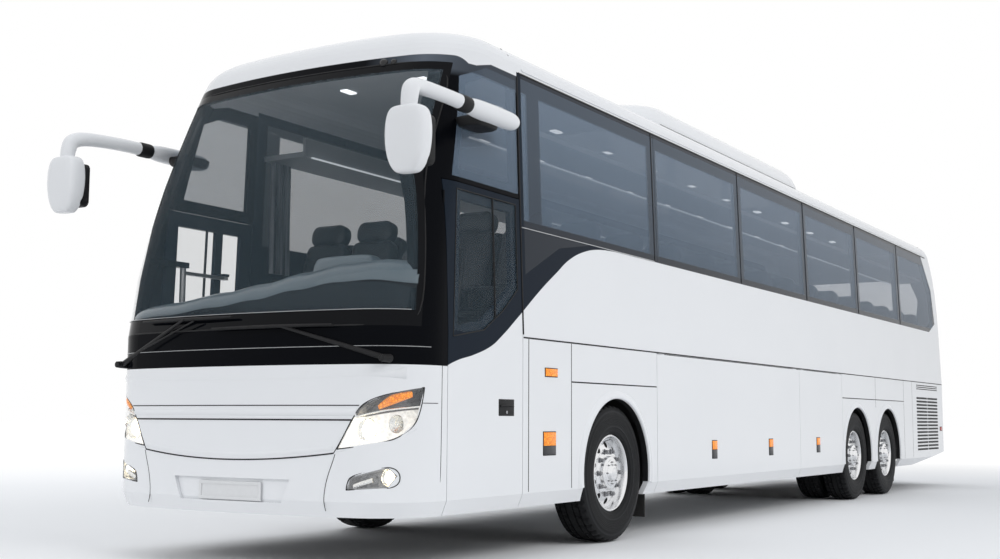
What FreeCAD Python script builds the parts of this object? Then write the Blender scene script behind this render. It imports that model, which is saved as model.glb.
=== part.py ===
"""Three-axle touring coach: an assembly of separate body, glass, cabin and running-gear pieces.

Millimetres. +Z is up, the front points to -Y and the vehicle's left, the driver's side, is +X.
The origin is on the ground, under the middle of the overall box, mirrors counted.
Stations named *_Y below are measured from the front axle; at() turns them into frame values.
"""
import FreeCAD, Part
import math
import os

V = FreeCAD.Vector

# ---------------------------------------------------------------- driving dimensions
WIDTH = 2550.0                # over the side panels
WHEELBASE = 6500.0            # front axle to drive axle
TAG_SPACING = 1380.0          # drive axle to tag axle
FRONT_OVERHANG = 2900.0
REAR_OVERHANG = 3220.0        # behind the tag axle
MIRROR_REACH = 220.0          # how far the mirrors stand ahead of the front face
HALF = WIDTH / 2

SKIRT_Z = 337.0               # lower edge of the side panels
TUCK_Z = SKIRT_Z + 93.0       # the skirt tucks in below this height
TUCK_IN = 38.0
BELT_Z = 1473.0               # line along the side, top of the flaps
HOOD_Z = BELT_Z - 223.0       # top of the painted front, foot of the black windscreen frame
BAND_Z = BELT_Z + 763.0       # lower edge of the window band
GUTTER_Z = 3360.0             # top of the side wall, where the roof's round edge starts
ROOF_Z = GUTTER_Z + 195.0
TUMBLEHOME = 65.0             # lean of each side wall from the belt to the gutter
SCREEN_SETBACK = 620.0        # how far the windscreen leans back at the gutter
SCREEN_CURVE = 1.55           # power of its setback over height
TAIL_SETBACK = 400.0          # the same two for the rear wall
TAIL_CURVE = 5.0
ROOF_EDGE_R = 155.0
ROOF_CAP = (1400.0, 750.0)     # length of the roof's front and rear caps
CROWN_HALF = 800.0            # half width of the roof's crown panel
UPPER_LEVELS = (0.0, 0.22, 0.42, 0.58, 0.72, 0.84, 0.93, 1.0)   # section heights, as shares
ROOF_LEVELS = (0.0, 0.2, 0.4, 0.58, 0.72, 0.795, 0.87, 0.95)

FRONT_BOW = 5200.0            # plan radius of the front
FRONT_CORNER = 420.0
REAR_CORNER = 120.0
WALL = 45.0                   # every wall, door and flap
GLASS = 10.0                  # panes lie in the outer face of the wall
SEAT_GAP = 0.3                # between a pane and the rebate it is bonded in
PANE_GAP = 8.0                # between neighbouring panes
PANE_LAP = 60.0               # how far a pane laps the opening behind it
DOOR_GAP = 6.0                # round each door and flap
ENTRY_GAP = 10.0              # in front of and behind the passenger door
LID_HINGE_X = 500.0
LID_GAP = 8.0                 # round the engine lid, whose lower edge dips as it opens
HINGE_W = 80.0                # hinge leaves, which fill the gap beside a door or flap
HINGE_DEPTH = (8.0, 34.0)     # their place in the wall, from its outer face
CLEAR = 0.5                   # between trimmed pieces that only lie side by side
SIDE_IN = HALF - 175.0        # nothing of a side wall lies further in than this
PANE_IN = HALF - 275.0        # nor anything of a window, whose wall leans in

DECK_Z = BELT_Z - 73.0        # passenger floor
CAB_Z = DECK_Z - 500.0        # floor beside the driver
FLOOR = 40.0

TYRE_R = 522.0
RIM_R = 290.0
TRACK_X = HALF - 170.0        # middle of each outer tyre
TWIN_STEP = 335.0             # outer to inner tyre of the drive axle
ARCH_R = TYRE_R + 44.0
SPINDLE_R = 45.0
RUNNING = 0.05                # radial clearance of a running fit
KINGPIN_X = TRACK_X - 205.0
KINGPIN_R = 25.0

DOOR_FRONT_Y = -FRONT_OVERHANG + 555.0
DOOR_REAR_Y = DOOR_FRONT_Y + 920.0
DOOR_TOP_Z = BAND_Z + 200.0
FRONT_PANEL_Y = 745.0         # half length of the panel round a front wheel
REAR_PANEL_AHEAD = 600.0      # of the drive axle
REAR_PANEL_BEHIND = 830.0     # of the tag axle
BAY_SPLIT = 0.703             # share of the luggage bay behind its first flap
FIRST_WINDOW = 2209.0
WINDOW_END = 500.0            # last pane's rear edge to the rear face
WINDOWS = 6

HOUSING_X = KINGPIN_X - 340.0   # inner wall of the wheel housings
HOUSING_TOP_Z = 2 * TYRE_R + 106.0
HOUSING_BEVEL = 240.0
HOUSING_WALL = 12.0
HOUSING_FOOT_Z = TUCK_Z
AXLE_ROOM = 40.0              # round an axle where it passes the housings' inner walls
HOUSING_REACH = {"front": 690.0, "drive": 560.0}   # ahead of the first axle, behind the last
MUD_FLAP_Z = 145.0            # lower edge of the flaps behind the wheels
MUD_FLAP_W = 230.0
MUD_FLAP_GAP = 7.0            # from the inside of the tucked skirt
SIDE_END = 200.0              # side wall's rear edge ahead of the rear face
REAR_DEPTH = 700.0            # the rear wall and what is cut in it lie within this
GRILLE_TOP_Z = HOOD_Z - 248.0
PLATE_DEPTH = 25.0

AC_FOOT_Z, AC_TOP_Z = ROOF_Z - 75.0, ROOF_Z + 200.0
AC_HALF = HALF - 375.0
AC_Y = (950.0, WHEELBASE - 1000.0)

DECK_Y = DOOR_REAR_Y + 25.0   # front edge of the passenger deck
STEP_X = (HALF - WALL - DOOR_GAP, HALF - 275.0, HALF - 515.0)
STEP_Z = (CAB_Z - 500.0, CAB_Z - 250.0)   # entry treads
TREAD = 30.0                  # thickness of an entry tread
RISER = 20.0
WELL_INSET = 20.0             # the entry well inside the doorway's two edges
AISLE = 240.0                 # half width
STEP_RUN = 300.0
AISLE_STEP_Z = (CAB_Z + DECK_Z) / 2
BAY_Z = TUCK_Z + FLOOR        # luggage floor
BULKHEAD = 25.0
RAIL_X, RAIL_W, RAIL_H = 380.0, 80.0, 180.0
REAR_RAIL_Z = TYRE_R + 298.0
ENGINE_LENGTH = 1500.0
ENGINE_Z = (SKIRT_Z + 143.0, DECK_Z - 140.0)
TOW_HALF, TOW_LENGTH, TOW_H, TOW_PIN_R = 60.0, 140.0, 50.0, 20.0
TOW_Z = CAB_Z - FLOOR - RAIL_H

EYE_H = 200.0                 # the beam's eyes round the kingpins
BEAM_Z, BEAM_H = TYRE_R + 8.0, 100.0   # top and height of the front beam
TUBE_R = 75.0                 # drive axle
KNUCKLE_GAP = 6.0
KNUCKLE_T = 35.0
WEB_X = (KINGPIN_X + 66.0, KINGPIN_X + 92.0)
SPINDLE_END = 95.0            # beyond the middle of the outer tyre
HUB_BACK = 90.0
HAND_HOLES = 10
HAND_HOLE_RING = 208.0
HAND_HOLE_R = 25.0

SHAFT_X = HALF - 135.0        # passenger door's shaft, its arm and their bearings
SHAFT_INSET = 130.0
SHAFT_R = 22.0
ARM_LENGTH = 430.0
ARM_Z = (BELT_Z - 118.0, DOOR_TOP_Z - 461.0)
ARM_T = 24.0
LUG_GAP = 0.8
LUG_T = 20.0
PIN_R = 10.0
BEARING_Z = (ARM_Z[0] - 65.0, ARM_Z[1] + 35.0)
BEARING_H = 40.0
MULLION = 70.0

DASH_Z = CAB_Z + 1000.0
DASH_INSET = WALL + 5.0       # from the body's outer face
DASH_DEPTH = 430.0
COLUMN_LENGTH = 430.0
STEER_X, STEER_Y, STEER_Z = HALF - 625.0, -FRONT_OVERHANG + 600.0, CAB_Z + 790.0   # wheel's middle
COLUMN_TILT = 55.0            # degrees above level
WHEEL_BOSS = 30.0
STEER_R = 225.0
DRIVER_Y = STEER_Y + 90.0
DRIVER_CUSHION_Z, DRIVER_TOP_Z = CAB_Z + 530.0, CAB_Z + 1380.0
FIRST_ROW_Y = DECK_Y + 30.0
SEAT_PITCH = 790.0
SEAT_X, SEAT_W, SEAT_H = 245.0, 450.0, 1070.0
SEAT_SPACE = 20.0             # between the two places of a pair
RACK_X, RACK_Z, RACK_Y = HALF - 515.0, GUTTER_Z - 400.0, DECK_Y + 70.0
CURTAIN_T, CURTAIN_W, CURTAIN_Z = 60.0, 240.0, DECK_Z + 650.0

MIRROR_X, MIRROR_Z = HALF + 125.0, GUTTER_Z - 480.0
MIRROR_POD_Y = (DOOR_FRONT_Y + 55.0, DOOR_FRONT_Y + 545.0)
POD_R, ARM_R = 66.0, 36.0
HEAD_X, HEAD_TOP_Z = MIRROR_X + 68.0, MIRROR_Z - 160.0
HEAD_DEPTH = 165.0
WIPER_OFF = 45.0              # from the glass to the middle of a wiper's arm

BODY_LENGTH = FRONT_OVERHANG + WHEELBASE + TAG_SPACING + REAR_OVERHANG
OVERALL = BODY_LENGTH + MIRROR_REACH
FRONT_AXLE = -OVERALL / 2 + MIRROR_REACH + FRONT_OVERHANG
BEYOND = HALF + 400.0         # outside everything on the sides
FRONT = FRONT_AXLE - FRONT_OVERHANG
REAR = FRONT + BODY_LENGTH
AHEAD, BEHIND = FRONT - 50.0, REAR + 50.0   # outside everything at the ends
AXLE_Y = {"front": 0.0, "drive": WHEELBASE, "tag": WHEELBASE + TAG_SPACING}
BAY_Y = (FRONT_PANEL_Y, WHEELBASE - REAR_PANEL_AHEAD)
REAR_PANEL_Y = AXLE_Y["tag"] + REAR_PANEL_BEHIND
HEAD_Y = FRONT - MIRROR_REACH + HEAD_DEPTH / 2
SPLIT_Y = BAY_Y[0] + BAY_SPLIT * (BAY_Y[1] - BAY_Y[0])


# ---------------------------------------------------------------- helpers
def at(y):
    """Frame y of a station given from the front axle."""
    return FRONT_AXLE + y


def box(x0, x1, y0, y1, z0, z1):
    return Part.makeBox(x1 - x0, y1 - y0, z1 - z0, V(x0, y0, z0))


def cylinder(start, direction, radius, length):
    return Part.makeCylinder(radius, length, start, direction)


def mirrored(shape):
    """The same piece on the other side of the vehicle."""
    return shape.mirror(V(0, 0, 0), V(1, 0, 0))


def fuse(shapes):
    first, rest = shapes[0], shapes[1:]
    return first.fuse(rest).removeSplitter() if rest else first


def cut(shape, tools):
    return shape.cut(tools) if tools else shape


def prism(points, direction):
    wire = Part.makePolygon(points + [points[0]])
    return Part.Face(wire).extrude(direction)


def rectangle(a0, a1, z0, z1):
    return [(a0, z0), (a1, z0), (a1, z1), (a0, z1)]


def flipped(outline):
    """Outline of (x, z) points on the other side of the vehicle."""
    return [(-x, z) for x, z in reversed(outline)]


def placed(outline, x, z):
    return [(x + a, z + b) for a, b in outline]


def side_band(sign, depth):
    """The x range from depth out to beyond one side."""
    return sorted((sign * depth, sign * BEYOND))


def side_prism(outline, x0, x1):
    """Outline of (y, z) points, extruded across the vehicle from x0 to x1."""
    return prism([V(x0, y, z) for y, z in outline], V(x1 - x0, 0, 0))


def front_prism(outline, y0, y1):
    """Outline of (x, z) points, extruded along the vehicle from y0 to y1."""
    return prism([V(x, y0, z) for x, z in outline], V(0, y1 - y0, 0))


def shrunk(outline, margin):
    """Convex outline, listed anticlockwise, with every side moved in by margin."""
    count = len(outline)
    lines = []
    for i, (a, b) in enumerate(outline):
        c, d = outline[(i + 1) % count]
        length = math.hypot(c - a, d - b)
        inward = (-(d - b) / length, (c - a) / length)
        lines.append((a + inward[0] * margin, b + inward[1] * margin, c - a, d - b))
    corners = []
    for i in range(count):
        ax, ay, adx, ady = lines[i - 1]
        bx, by, bdx, bdy = lines[i]
        t = ((bx - ax) * bdy - (by - ay) * bdx) / (adx * bdy - ady * bdx)
        corners.append((ax + t * adx, ay + t * ady))
    return corners


def turned(profile, centre, axis):
    """Ring swept by a profile of (along, radius) points round an axis through centre."""
    up = V(0, 0, 1)
    points = [centre + axis * a + up * r for a, r in profile]
    face = Part.Face(Part.makePolygon(points + [points[0]]))
    return face.revolve(centre, axis, 360)


def ball(centre, radius):
    """Faceted ball with two small flats."""
    turns = [math.radians(a) for a in (9, 27, 45, 63, 81, 99, 117, 135, 153, 171)]
    ring = [(-radius * math.cos(t), radius * math.sin(t)) for t in turns]
    return turned([(ring[0][0], 0)] + ring + [(ring[-1][0], 0)], centre, V(0, 1, 0))


def write(node, *pieces):
    """One STEP file per node; solids of one node do not touch each other."""
    solids = [solid for piece in pieces for solid in piece.Solids]
    shape = solids[0] if len(solids) == 1 else Part.makeCompound(solids)
    if not shape.isValid():
        print("not valid:", node)
    print(f"{node}: {len(shape.Solids)} solids, {shape.Volume / 1e9:.4f} m3")
    shape.exportStep(f"parts/{node}.step")


# ---------------------------------------------------------------- body envelope
def plan(z, half, front, rear, inset):
    """Outline of the body seen from above at height z: bowed front, round corners."""
    bow, corner, tail = FRONT_BOW - inset, FRONT_CORNER - inset, REAR_CORNER - inset
    middle = V(0, front + bow, z)
    cx = half - corner
    cy = middle.y - math.sqrt((bow - corner) ** 2 - cx ** 2)
    out = V(cx, cy - middle.y, 0).normalize()
    meet = middle + out * bow
    slant = (out + V(1, 0, 0)).normalize()
    bend = V(cx, cy, z) + slant * corner
    turn = tail * math.sqrt(0.5)
    right = [meet, bend, V(half, cy, z), V(half, rear - tail, z),
             V(half - tail + turn, rear - tail + turn, z), V(half - tail, rear, z)]
    left = [V(-p.x, p.y, p.z) for p in right]
    edges = [
        Part.Arc(left[0], V(0, front, z), right[0]).toShape(),
        Part.Arc(right[0], right[1], right[2]).toShape(),
        Part.makeLine(right[2], right[3]),
        Part.Arc(right[3], right[4], right[5]).toShape(),
        Part.makeLine(right[5], left[5]),
        Part.Arc(left[5], left[4], left[3]).toShape(),
        Part.makeLine(left[3], left[2]),
        Part.Arc(left[2], left[1], left[0]).toShape(),
    ]
    return Part.Wire(edges)


def lean(z):
    """How far a side wall has leaned in at height z."""
    return TUMBLEHOME * (z - BELT_Z) / (GUTTER_Z - BELT_Z)


def rounded(z, start, slope):
    """Setback of an end of the roof: an arc from its slope at the gutter to level at the crown."""
    radius = (ROOF_Z - GUTTER_Z) / (1 - math.sin(slope))
    turn = math.asin(math.sin(slope) + (z - GUTTER_Z) / radius)
    return start + radius * (math.cos(slope) - math.cos(turn))


def roof_side(z):
    """Side inset of the roof: a round edge, then a shallow crown."""
    rise = z - GUTTER_Z
    if rise <= ROOF_EDGE_R:
        return TUMBLEHOME + ROOF_EDGE_R - math.sqrt(ROOF_EDGE_R ** 2 - rise ** 2)
    crown = (ROOF_Z - z) / (ROOF_Z - GUTTER_Z - ROOF_EDGE_R)
    flat = HALF - TUMBLEHOME - ROOF_EDGE_R
    return TUMBLEHOME + ROOF_EDGE_R + flat * (1 - math.sqrt(crown))


def upper_section(z):
    """Height, side inset, front setback and rear setback of the upper body at height z."""
    share = (z - BELT_Z) / (GUTTER_Z - BELT_Z)
    return z, lean(z), SCREEN_SETBACK * share ** SCREEN_CURVE, TAIL_SETBACK * share ** TAIL_CURVE


def roof_section(z):
    height = GUTTER_Z - BELT_Z
    front = rounded(z, SCREEN_SETBACK, math.atan(SCREEN_SETBACK * SCREEN_CURVE / height))
    rear = rounded(z, TAIL_SETBACK, math.atan(TAIL_SETBACK * TAIL_CURVE / height))
    return z, roof_side(z), front, rear


# height, side inset, front setback, rear setback
LOWER = [(SKIRT_Z, TUCK_IN, 30.0, 30.0), (TUCK_Z, 0.0, 0.0, 0.0), (BELT_Z, 0.0, 0.0, 0.0)]
UPPER = [upper_section(BELT_Z + share * (GUTTER_Z - BELT_Z)) for share in UPPER_LEVELS]
ROOF = [roof_section(GUTTER_Z + share * (ROOF_Z - GUTTER_Z)) for share in ROOF_LEVELS]


def level(table, inset):
    """Solid through the table's sections, each moved in by inset."""
    wires = []
    for z, side, front, rear in table:
        half = HALF - side - inset
        wires.append(plan(z, half, FRONT + front + inset, REAR - rear - inset, inset))
    return Part.makeLoft(wires, True, True)


def lowered(table, drop):
    """Roof sections for a surface that lies drop below the roof's crown."""
    rise = ROOF_Z - GUTTER_Z
    return [(GUTTER_Z + (z - GUTTER_Z) * (rise - drop) / rise, *rest) for z, *rest in table]


def skin(table, depth_from, depth_to):
    """Wall between two depths under the body's outer face."""
    return level(table, depth_from).cut(level(table, depth_to))


LOWER_SKIN = skin(LOWER, 0.0, WALL)
UPPER_SKIN = skin(UPPER, 0.0, WALL)
ROOF_SKIN = level(ROOF, 0.0).cut(level(lowered(ROOF, WALL), WALL))
PANE_LAYER = skin(UPPER, 0.0, GLASS)
REBATE_LAYER = skin(UPPER, 0.0, GLASS + SEAT_GAP)
AROUND = [level(LOWER, -CLEAR), level(UPPER, -CLEAR)]


def solids_of(shape, smallest=1e4):
    """Solids of a cut shape, without slivers."""
    return [s for s in shape.Solids if s.Volume > smallest]


def region(skins, x0, x1, y0, y1, z0, z1):
    """Part of the body's skins inside a box, as one shape."""
    window = box(x0, x1, y0, y1, z0, z1)
    pieces = [s.common(window) for s in skins]
    pieces = [p for p in pieces if p.Solids]
    return pieces[0].fuse(pieces[1:]) if len(pieces) > 1 else pieces[0]


# ---------------------------------------------------------------- side openings, as (y, z) outlines
DOOR_FRONT, DOOR_REAR = at(DOOR_FRONT_Y), at(DOOR_REAR_Y)
UPPER_PANE_Z = (DOOR_TOP_Z + 30.0, GUTTER_Z - 90.0)


DRIVER_PANE = [(DOOR_FRONT + 60, BELT_Z - 33), (DOOR_FRONT + 420, BELT_Z + 27),
               (DOOR_FRONT + 660, BELT_Z + 167), (DOOR_REAR - 60, BELT_Z + 327),
               (DOOR_REAR - 60, DOOR_TOP_Z - 50), (DOOR_FRONT + 130, DOOR_TOP_Z - 50)]
ENTRY_PANE = rectangle(DOOR_FRONT + 70, DOOR_REAR - 70, BELT_Z - 393, DOOR_TOP_Z - 50)
UPPER_PANE = [(DOOR_FRONT + 90, UPPER_PANE_Z[0]), (DOOR_REAR - 20, UPPER_PANE_Z[0]),
              (DOOR_REAR - 20, UPPER_PANE_Z[1]), (DOOR_FRONT + 520, UPPER_PANE_Z[1]),
              (DOOR_FRONT + 260, UPPER_PANE_Z[1] - 110)]


def window_outlines():
    """Side panes from the front pillar to the rear, the last one cut back at its lower rear."""
    start = DOOR_REAR + 50
    stop = REAR - WINDOW_END
    first_end = start + FIRST_WINDOW
    pitch = (stop - first_end) / (WINDOWS - 1)
    top = GUTTER_Z - 34
    panes = []
    for i in range(WINDOWS):
        y0 = start if i == 0 else first_end + (i - 1) * pitch
        y1 = first_end if i == 0 else y0 + pitch
        low, high = y0 + PANE_GAP / 2, y1 - PANE_GAP / 2
        if i == 0:
            outline = [(low, BAND_Z - 320), (low + 500, BAND_Z - 80), (low + 1000, BAND_Z),
                       (high, BAND_Z), (high, top), (low, top)]
        elif i == WINDOWS - 1:
            outline = [(low, BAND_Z), (high - 200, BAND_Z), (high + 150, BAND_Z + 130),
                       (high + 40, BAND_Z + 620), (high - 460, top), (low, top)]
        else:
            outline = rectangle(low, high, BAND_Z, top)
        panes.append(outline)
    return panes


SIDE_PANES = window_outlines()
FLAPS = {"front": (at(BAY_Y[0]) + DOOR_GAP, at(SPLIT_Y) - DOOR_GAP / 2),
         "rear": (at(SPLIT_Y) + DOOR_GAP / 2, at(BAY_Y[1]) - DOOR_GAP)}


def pane(outline, sign):
    """Pane of glass lying in the outer face of one side wall."""
    return PANE_LAYER.common(side_prism(outline, sign * PANE_IN, sign * BEYOND))


def rebate(outline, sign):
    """Recess for a pane and the opening behind it, which the pane laps."""
    wide = side_prism(shrunk(outline, -CLEAR), sign * PANE_IN, sign * BEYOND)
    through = side_prism(shrunk(outline, PANE_LAP), sign * PANE_IN, sign * BEYOND)
    return [REBATE_LAYER.common(wide), through]


def arch(axle, sign):
    """Round wheel opening through the side and the space behind it."""
    y = at(AXLE_Y[axle])
    return cylinder(V(sign * BEYOND, y, TYRE_R), V(-sign, 0, 0), ARCH_R, BEYOND - HOUSING_X)


# ---------------------------------------------------------------- side walls and their openings
def tail_rise():
    """What the rear overhang's lower edge is cut back by."""
    start = at(REAR_PANEL_Y + 500)
    return side_prism([(start, 0.0), (BEHIND, 0.0), (BEHIND, SKIRT_Z + 165), (start, SKIRT_Z)],
                      -BEYOND, BEYOND)


def flap_hinges(sign):
    """Leaves over each luggage flap, a hair's breadth above its top edge."""
    x = sorted((sign * (HALF - HINGE_DEPTH[1]), sign * (HALF - HINGE_DEPTH[0])))
    leaves = []
    for y0, y1 in FLAPS.values():
        for y in (y0 + HINGE_W, y1 - 2 * HINGE_W):
            leaves.append(box(*x, y, y + HINGE_W, BELT_Z - DOOR_GAP + SEAT_GAP, BELT_Z + DOOR_GAP))
    return leaves


def side_wall(sign):
    """Wall from the front door's rear edge to the rear wall, flaps, arches and windows cut out."""
    x = side_band(sign, SIDE_IN)
    wall = region([LOWER_SKIN, UPPER_SKIN], *x, DOOR_REAR, REAR - SIDE_END, SKIRT_Z, GUTTER_Z)
    tools = [arch(axle, sign) for axle in AXLE_Y]
    tools.append(box(*x, at(BAY_Y[0]), at(BAY_Y[1]), 0, BELT_Z))
    for outline in SIDE_PANES:
        tools += rebate(outline, sign)
    tools.append(tail_rise())
    return cut(wall, tools).fuse(flap_hinges(sign))


def luggage_door(sign, y0, y1):
    """Flap of the luggage bay, hinged along its upper edge."""
    return region([LOWER_SKIN], *side_band(sign, SIDE_IN), y0, y1, SKIRT_Z, BELT_Z - DOOR_GAP)


def side_door(sign, outline):
    """Front door of one side with its pane's recess and window opening."""
    door = region([LOWER_SKIN, UPPER_SKIN], *side_band(sign, SIDE_IN), DOOR_FRONT + DOOR_GAP,
                  DOOR_REAR - DOOR_GAP, SKIRT_Z, DOOR_TOP_Z - DOOR_GAP)
    return cut(door, rebate(outline, sign))


# ---------------------------------------------------------------- front
SCREEN_TOP_Z = GUTTER_Z - 110.0
SCREEN_FOOT_Z = BELT_Z + 10
# y, z of the raked pillar line where the glass ends on each side
SCREEN_EDGE = [(FRONT + 325.0, SCREEN_FOOT_Z), (FRONT + 450.0, DOOR_TOP_Z + 14.0),
               (FRONT + 800.0, SCREEN_TOP_Z)]
SCREEN = [(AHEAD, SCREEN_FOOT_Z)] + SCREEN_EDGE + [(AHEAD, SCREEN_TOP_Z)]


def windscreen():
    return PANE_LAYER.common(side_prism(SCREEN, -BEYOND, BEYOND))


def windscreen_frame():
    """Black surround: foot panel, pillars, header and the walls above the front doors."""
    frame = region([LOWER_SKIN, UPPER_SKIN], -BEYOND, BEYOND, AHEAD, DOOR_REAR, HOOD_Z, GUTTER_Z)
    wide = side_prism(shrunk(SCREEN, -CLEAR), -BEYOND, BEYOND)
    through = side_prism(shrunk(SCREEN, PANE_LAP), -BEYOND, BEYOND)
    tools = [REBATE_LAYER.common(wide), through]
    for sign in (1, -1):
        tools.append(box(*side_band(sign, SIDE_IN), DOOR_FRONT, DOOR_REAR + 10, 0, DOOR_TOP_Z))
        tools += rebate(UPPER_PANE, sign)
    return cut(frame, tools)


def door_hinges():
    """Leaves on the pillar ahead of the driver's door."""
    leaves = []
    for z in (HOOD_Z + HINGE_W, DOOR_TOP_Z - 2 * HINGE_W):
        out = HALF - lean(max(z + HINGE_W, BELT_Z))
        leaves.append(box(out - HINGE_DEPTH[1], out - HINGE_DEPTH[0], DOOR_FRONT - DOOR_GAP,
                          DOOR_FRONT + DOOR_GAP - SEAT_GAP, z, z + HINGE_W))
    return leaves


# front view outlines, (x, z); the lamps' are one side's
LAMP = placed([(-464, 405), (-121, 462), (-50, 563), (-27, 777), (-178, 731), (-304, 670),
               (-361, 591)], HALF, SKIRT_Z)
FOG = placed([(-396, 165), (-158, 180), (-116, 251), (-159, 301), (-375, 239)], HALF, SKIRT_Z)
GRILLE_SIDE = placed([(-HALF, 330), (400 - HALF, 340), (-473, 369), (-464, 405), (-361, 591),
                      (-304, GRILLE_TOP_Z - SKIRT_Z)], HALF, SKIRT_Z)
GRILLE = GRILLE_SIDE + flipped(GRILLE_SIDE)[:-1]
PLATE_RECESS = placed([(-423, 75), (423, 75), (482, 218), (-482, 218)], 0, SKIRT_Z)
LAMP_DEPTH = 110.0
LENS = 6.0


def front_cut(outline):
    return front_prism(outline, AHEAD, FRONT + FRONT_CORNER)


def front_region(z0, z1):
    return region([LOWER_SKIN], -BEYOND, BEYOND, AHEAD, DOOR_FRONT, z0, z1)


def lamp_room():
    """Space behind the front's face that the main lamps' bowls take."""
    layer = level(LOWER, 0.0).cut(level(LOWER, LAMP_DEPTH + CLEAR))
    outlines = (shrunk(LAMP, -CLEAR), shrunk(flipped(LAMP), -CLEAR))
    return [layer.common(front_prism(o, AHEAD, FRONT + FRONT_CORNER + CLEAR)) for o in outlines]


def lamp_solids(outline):
    """Lens in the front's face and the closed bowl behind it."""
    outline = shrunk(outline, CLEAR)
    lens = level(LOWER, 0.0).cut(level(LOWER, LENS)).common(front_cut(outline))
    deep = level(LOWER, LENS + SEAT_GAP).cut(level(LOWER, LAMP_DEPTH))
    room = level(LOWER, LENS).cut(level(LOWER, LAMP_DEPTH - LENS))
    bowl = deep.common(front_cut(outline)).cut(room.common(front_cut(shrunk(outline, LENS))))
    return solids_of(lens), solids_of(bowl)


def front_panels():
    """Hood panel, grille panel and bumper, with the lamps cut out of them."""
    lamps = [front_cut(o) for o in (LAMP, flipped(LAMP), FOG, flipped(FOG))]
    hood = front_region(GRILLE_TOP_Z, HOOD_Z).cut(lamps)
    lower = front_region(SKIRT_Z, GRILLE_TOP_Z)
    grille = cut(lower.common(front_cut(GRILLE)), lamps)
    plate = front_cut(PLATE_RECESS).common(level(LOWER, 0.0).cut(level(LOWER, PLATE_DEPTH)))
    bumper = cut(lower, [front_cut(GRILLE), plate] + lamps)
    return hood, grille, bumper


# ---------------------------------------------------------------- rear
LID = rectangle(395.0 - HALF, HALF - 395.0, SKIRT_Z + 303, BELT_Z - 20)
TAIL_LAMP = rectangle(HALF - 290, HALF - 85, BELT_Z - 713, BELT_Z - 93)
REAR_PANE_SIDE = [(HALF - 315, BAND_Z + 164), (HALF - 255, BAND_Z + 524), (HALF - 375, GUTTER_Z - 230)]
REAR_PANE = REAR_PANE_SIDE + flipped(REAR_PANE_SIDE)


def rear_cut(outline):
    return front_prism(outline, REAR - REAR_DEPTH, BEHIND)


def rear_wall():
    """Rear wall with its round corners, from the bumper to the gutter."""
    start = REAR - REAR_DEPTH
    wall = region([LOWER_SKIN, UPPER_SKIN], -BEYOND, BEYOND, start, BEHIND, SKIRT_Z, GUTTER_Z)
    corners = [box(*side_band(s, SIDE_IN), start, REAR - SIDE_END, 0, GUTTER_Z) for s in (1, -1)]
    tools = corners + [tail_rise(), rear_cut(LID), rear_cut(TAIL_LAMP), rear_cut(flipped(TAIL_LAMP))]
    tools.append(REBATE_LAYER.common(rear_cut(shrunk(REAR_PANE, -CLEAR))))
    tools.append(rear_cut(shrunk(REAR_PANE, PANE_LAP)))
    for sign in (1, -1):
        tools += rebate(SIDE_PANES[-1], sign)
    top = LID[2][1]
    leaves = [box(x - HINGE_W / 2, x + HINGE_W / 2, REAR - HINGE_DEPTH[1], REAR - HINGE_DEPTH[0],
                  top - LID_GAP + SEAT_GAP, top + DOOR_GAP) for x in (-LID_HINGE_X, LID_HINGE_X)]
    return cut(wall, tools).fuse(leaves)


def engine_lid():
    return LOWER_SKIN.common(rear_cut(shrunk(LID, LID_GAP)))


def tail_lamps():
    lamp = LOWER_SKIN.common(rear_cut(shrunk(TAIL_LAMP, CLEAR)))
    return [lamp, mirrored(lamp)]


# ---------------------------------------------------------------- roof
def roof_part(x0, x1, y0, y1):
    return ROOF_SKIN.common(box(x0, x1, y0, y1, GUTTER_Z - 1, ROOF_Z + 1))


def roof_parts():
    """Moulded front and rear caps, the crown panel and a round edge panel on each side."""
    front, rear = FRONT + ROOF_CAP[0], REAR - ROOF_CAP[1]
    spans = {  # lowest and highest x, foremost and rearmost y
        "roof_caps": [(-BEYOND, BEYOND, AHEAD, front), (-BEYOND, BEYOND, rear, BEHIND)],
        "roof_panel": [(-CROWN_HALF, CROWN_HALF, front, rear)],
        "roof_edges": [(CROWN_HALF, BEYOND, front, rear), (-BEYOND, -CROWN_HALF, front, rear)],
    }
    return {name: [roof_part(*span) for span in rows] for name, rows in spans.items()}


def air_conditioner():
    """Pod on the roof: a raked nose, chamfered sides and tail."""
    sections = [(AC_FOOT_Z, AC_HALF, AC_Y[0], AC_Y[1]),
                (AC_TOP_Z - 70, AC_HALF - 40, AC_Y[0] + 330, AC_Y[1] - 130),
                (AC_TOP_Z, AC_HALF - 140, AC_Y[0] + 560, AC_Y[1] - 420)]
    wires = []
    for z, half, y0, y1 in sections:
        corners = [V(-half, at(y0), z), V(half, at(y0), z), V(half, at(y1), z), V(-half, at(y1), z)]
        wires.append(Part.makePolygon(corners + [corners[0]]))
    return Part.makeLoft(wires, True, True).cut(level(ROOF, 0.0))


# ---------------------------------------------------------------- floor, bay and housings
def floor_plates(*plates):
    """Floor pieces trimmed to the inside of the walls, clear of doors, flaps, lid and lamps."""
    clear = []
    for sign in (1, -1):
        for y0, y1 in ((DOOR_FRONT - 5, DOOR_REAR + 5), (at(BAY_Y[0]) - 5, at(BAY_Y[1]) + 5)):
            clear.append(box(*side_band(sign, STEP_X[0]), y0, y1, 0, BELT_Z))
    clear.append(box(LID[0][0], LID[1][0], REAR - WALL - LID_GAP, REAR, 0, BELT_Z))
    inner = level([(SKIRT_Z, 0, 0, 0), (BELT_Z, 0, 0, 0)], WALL + CLEAR)
    return [s for plate in plates for s in plate.common(inner).cut(clear + lamp_room()).Solids]


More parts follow.
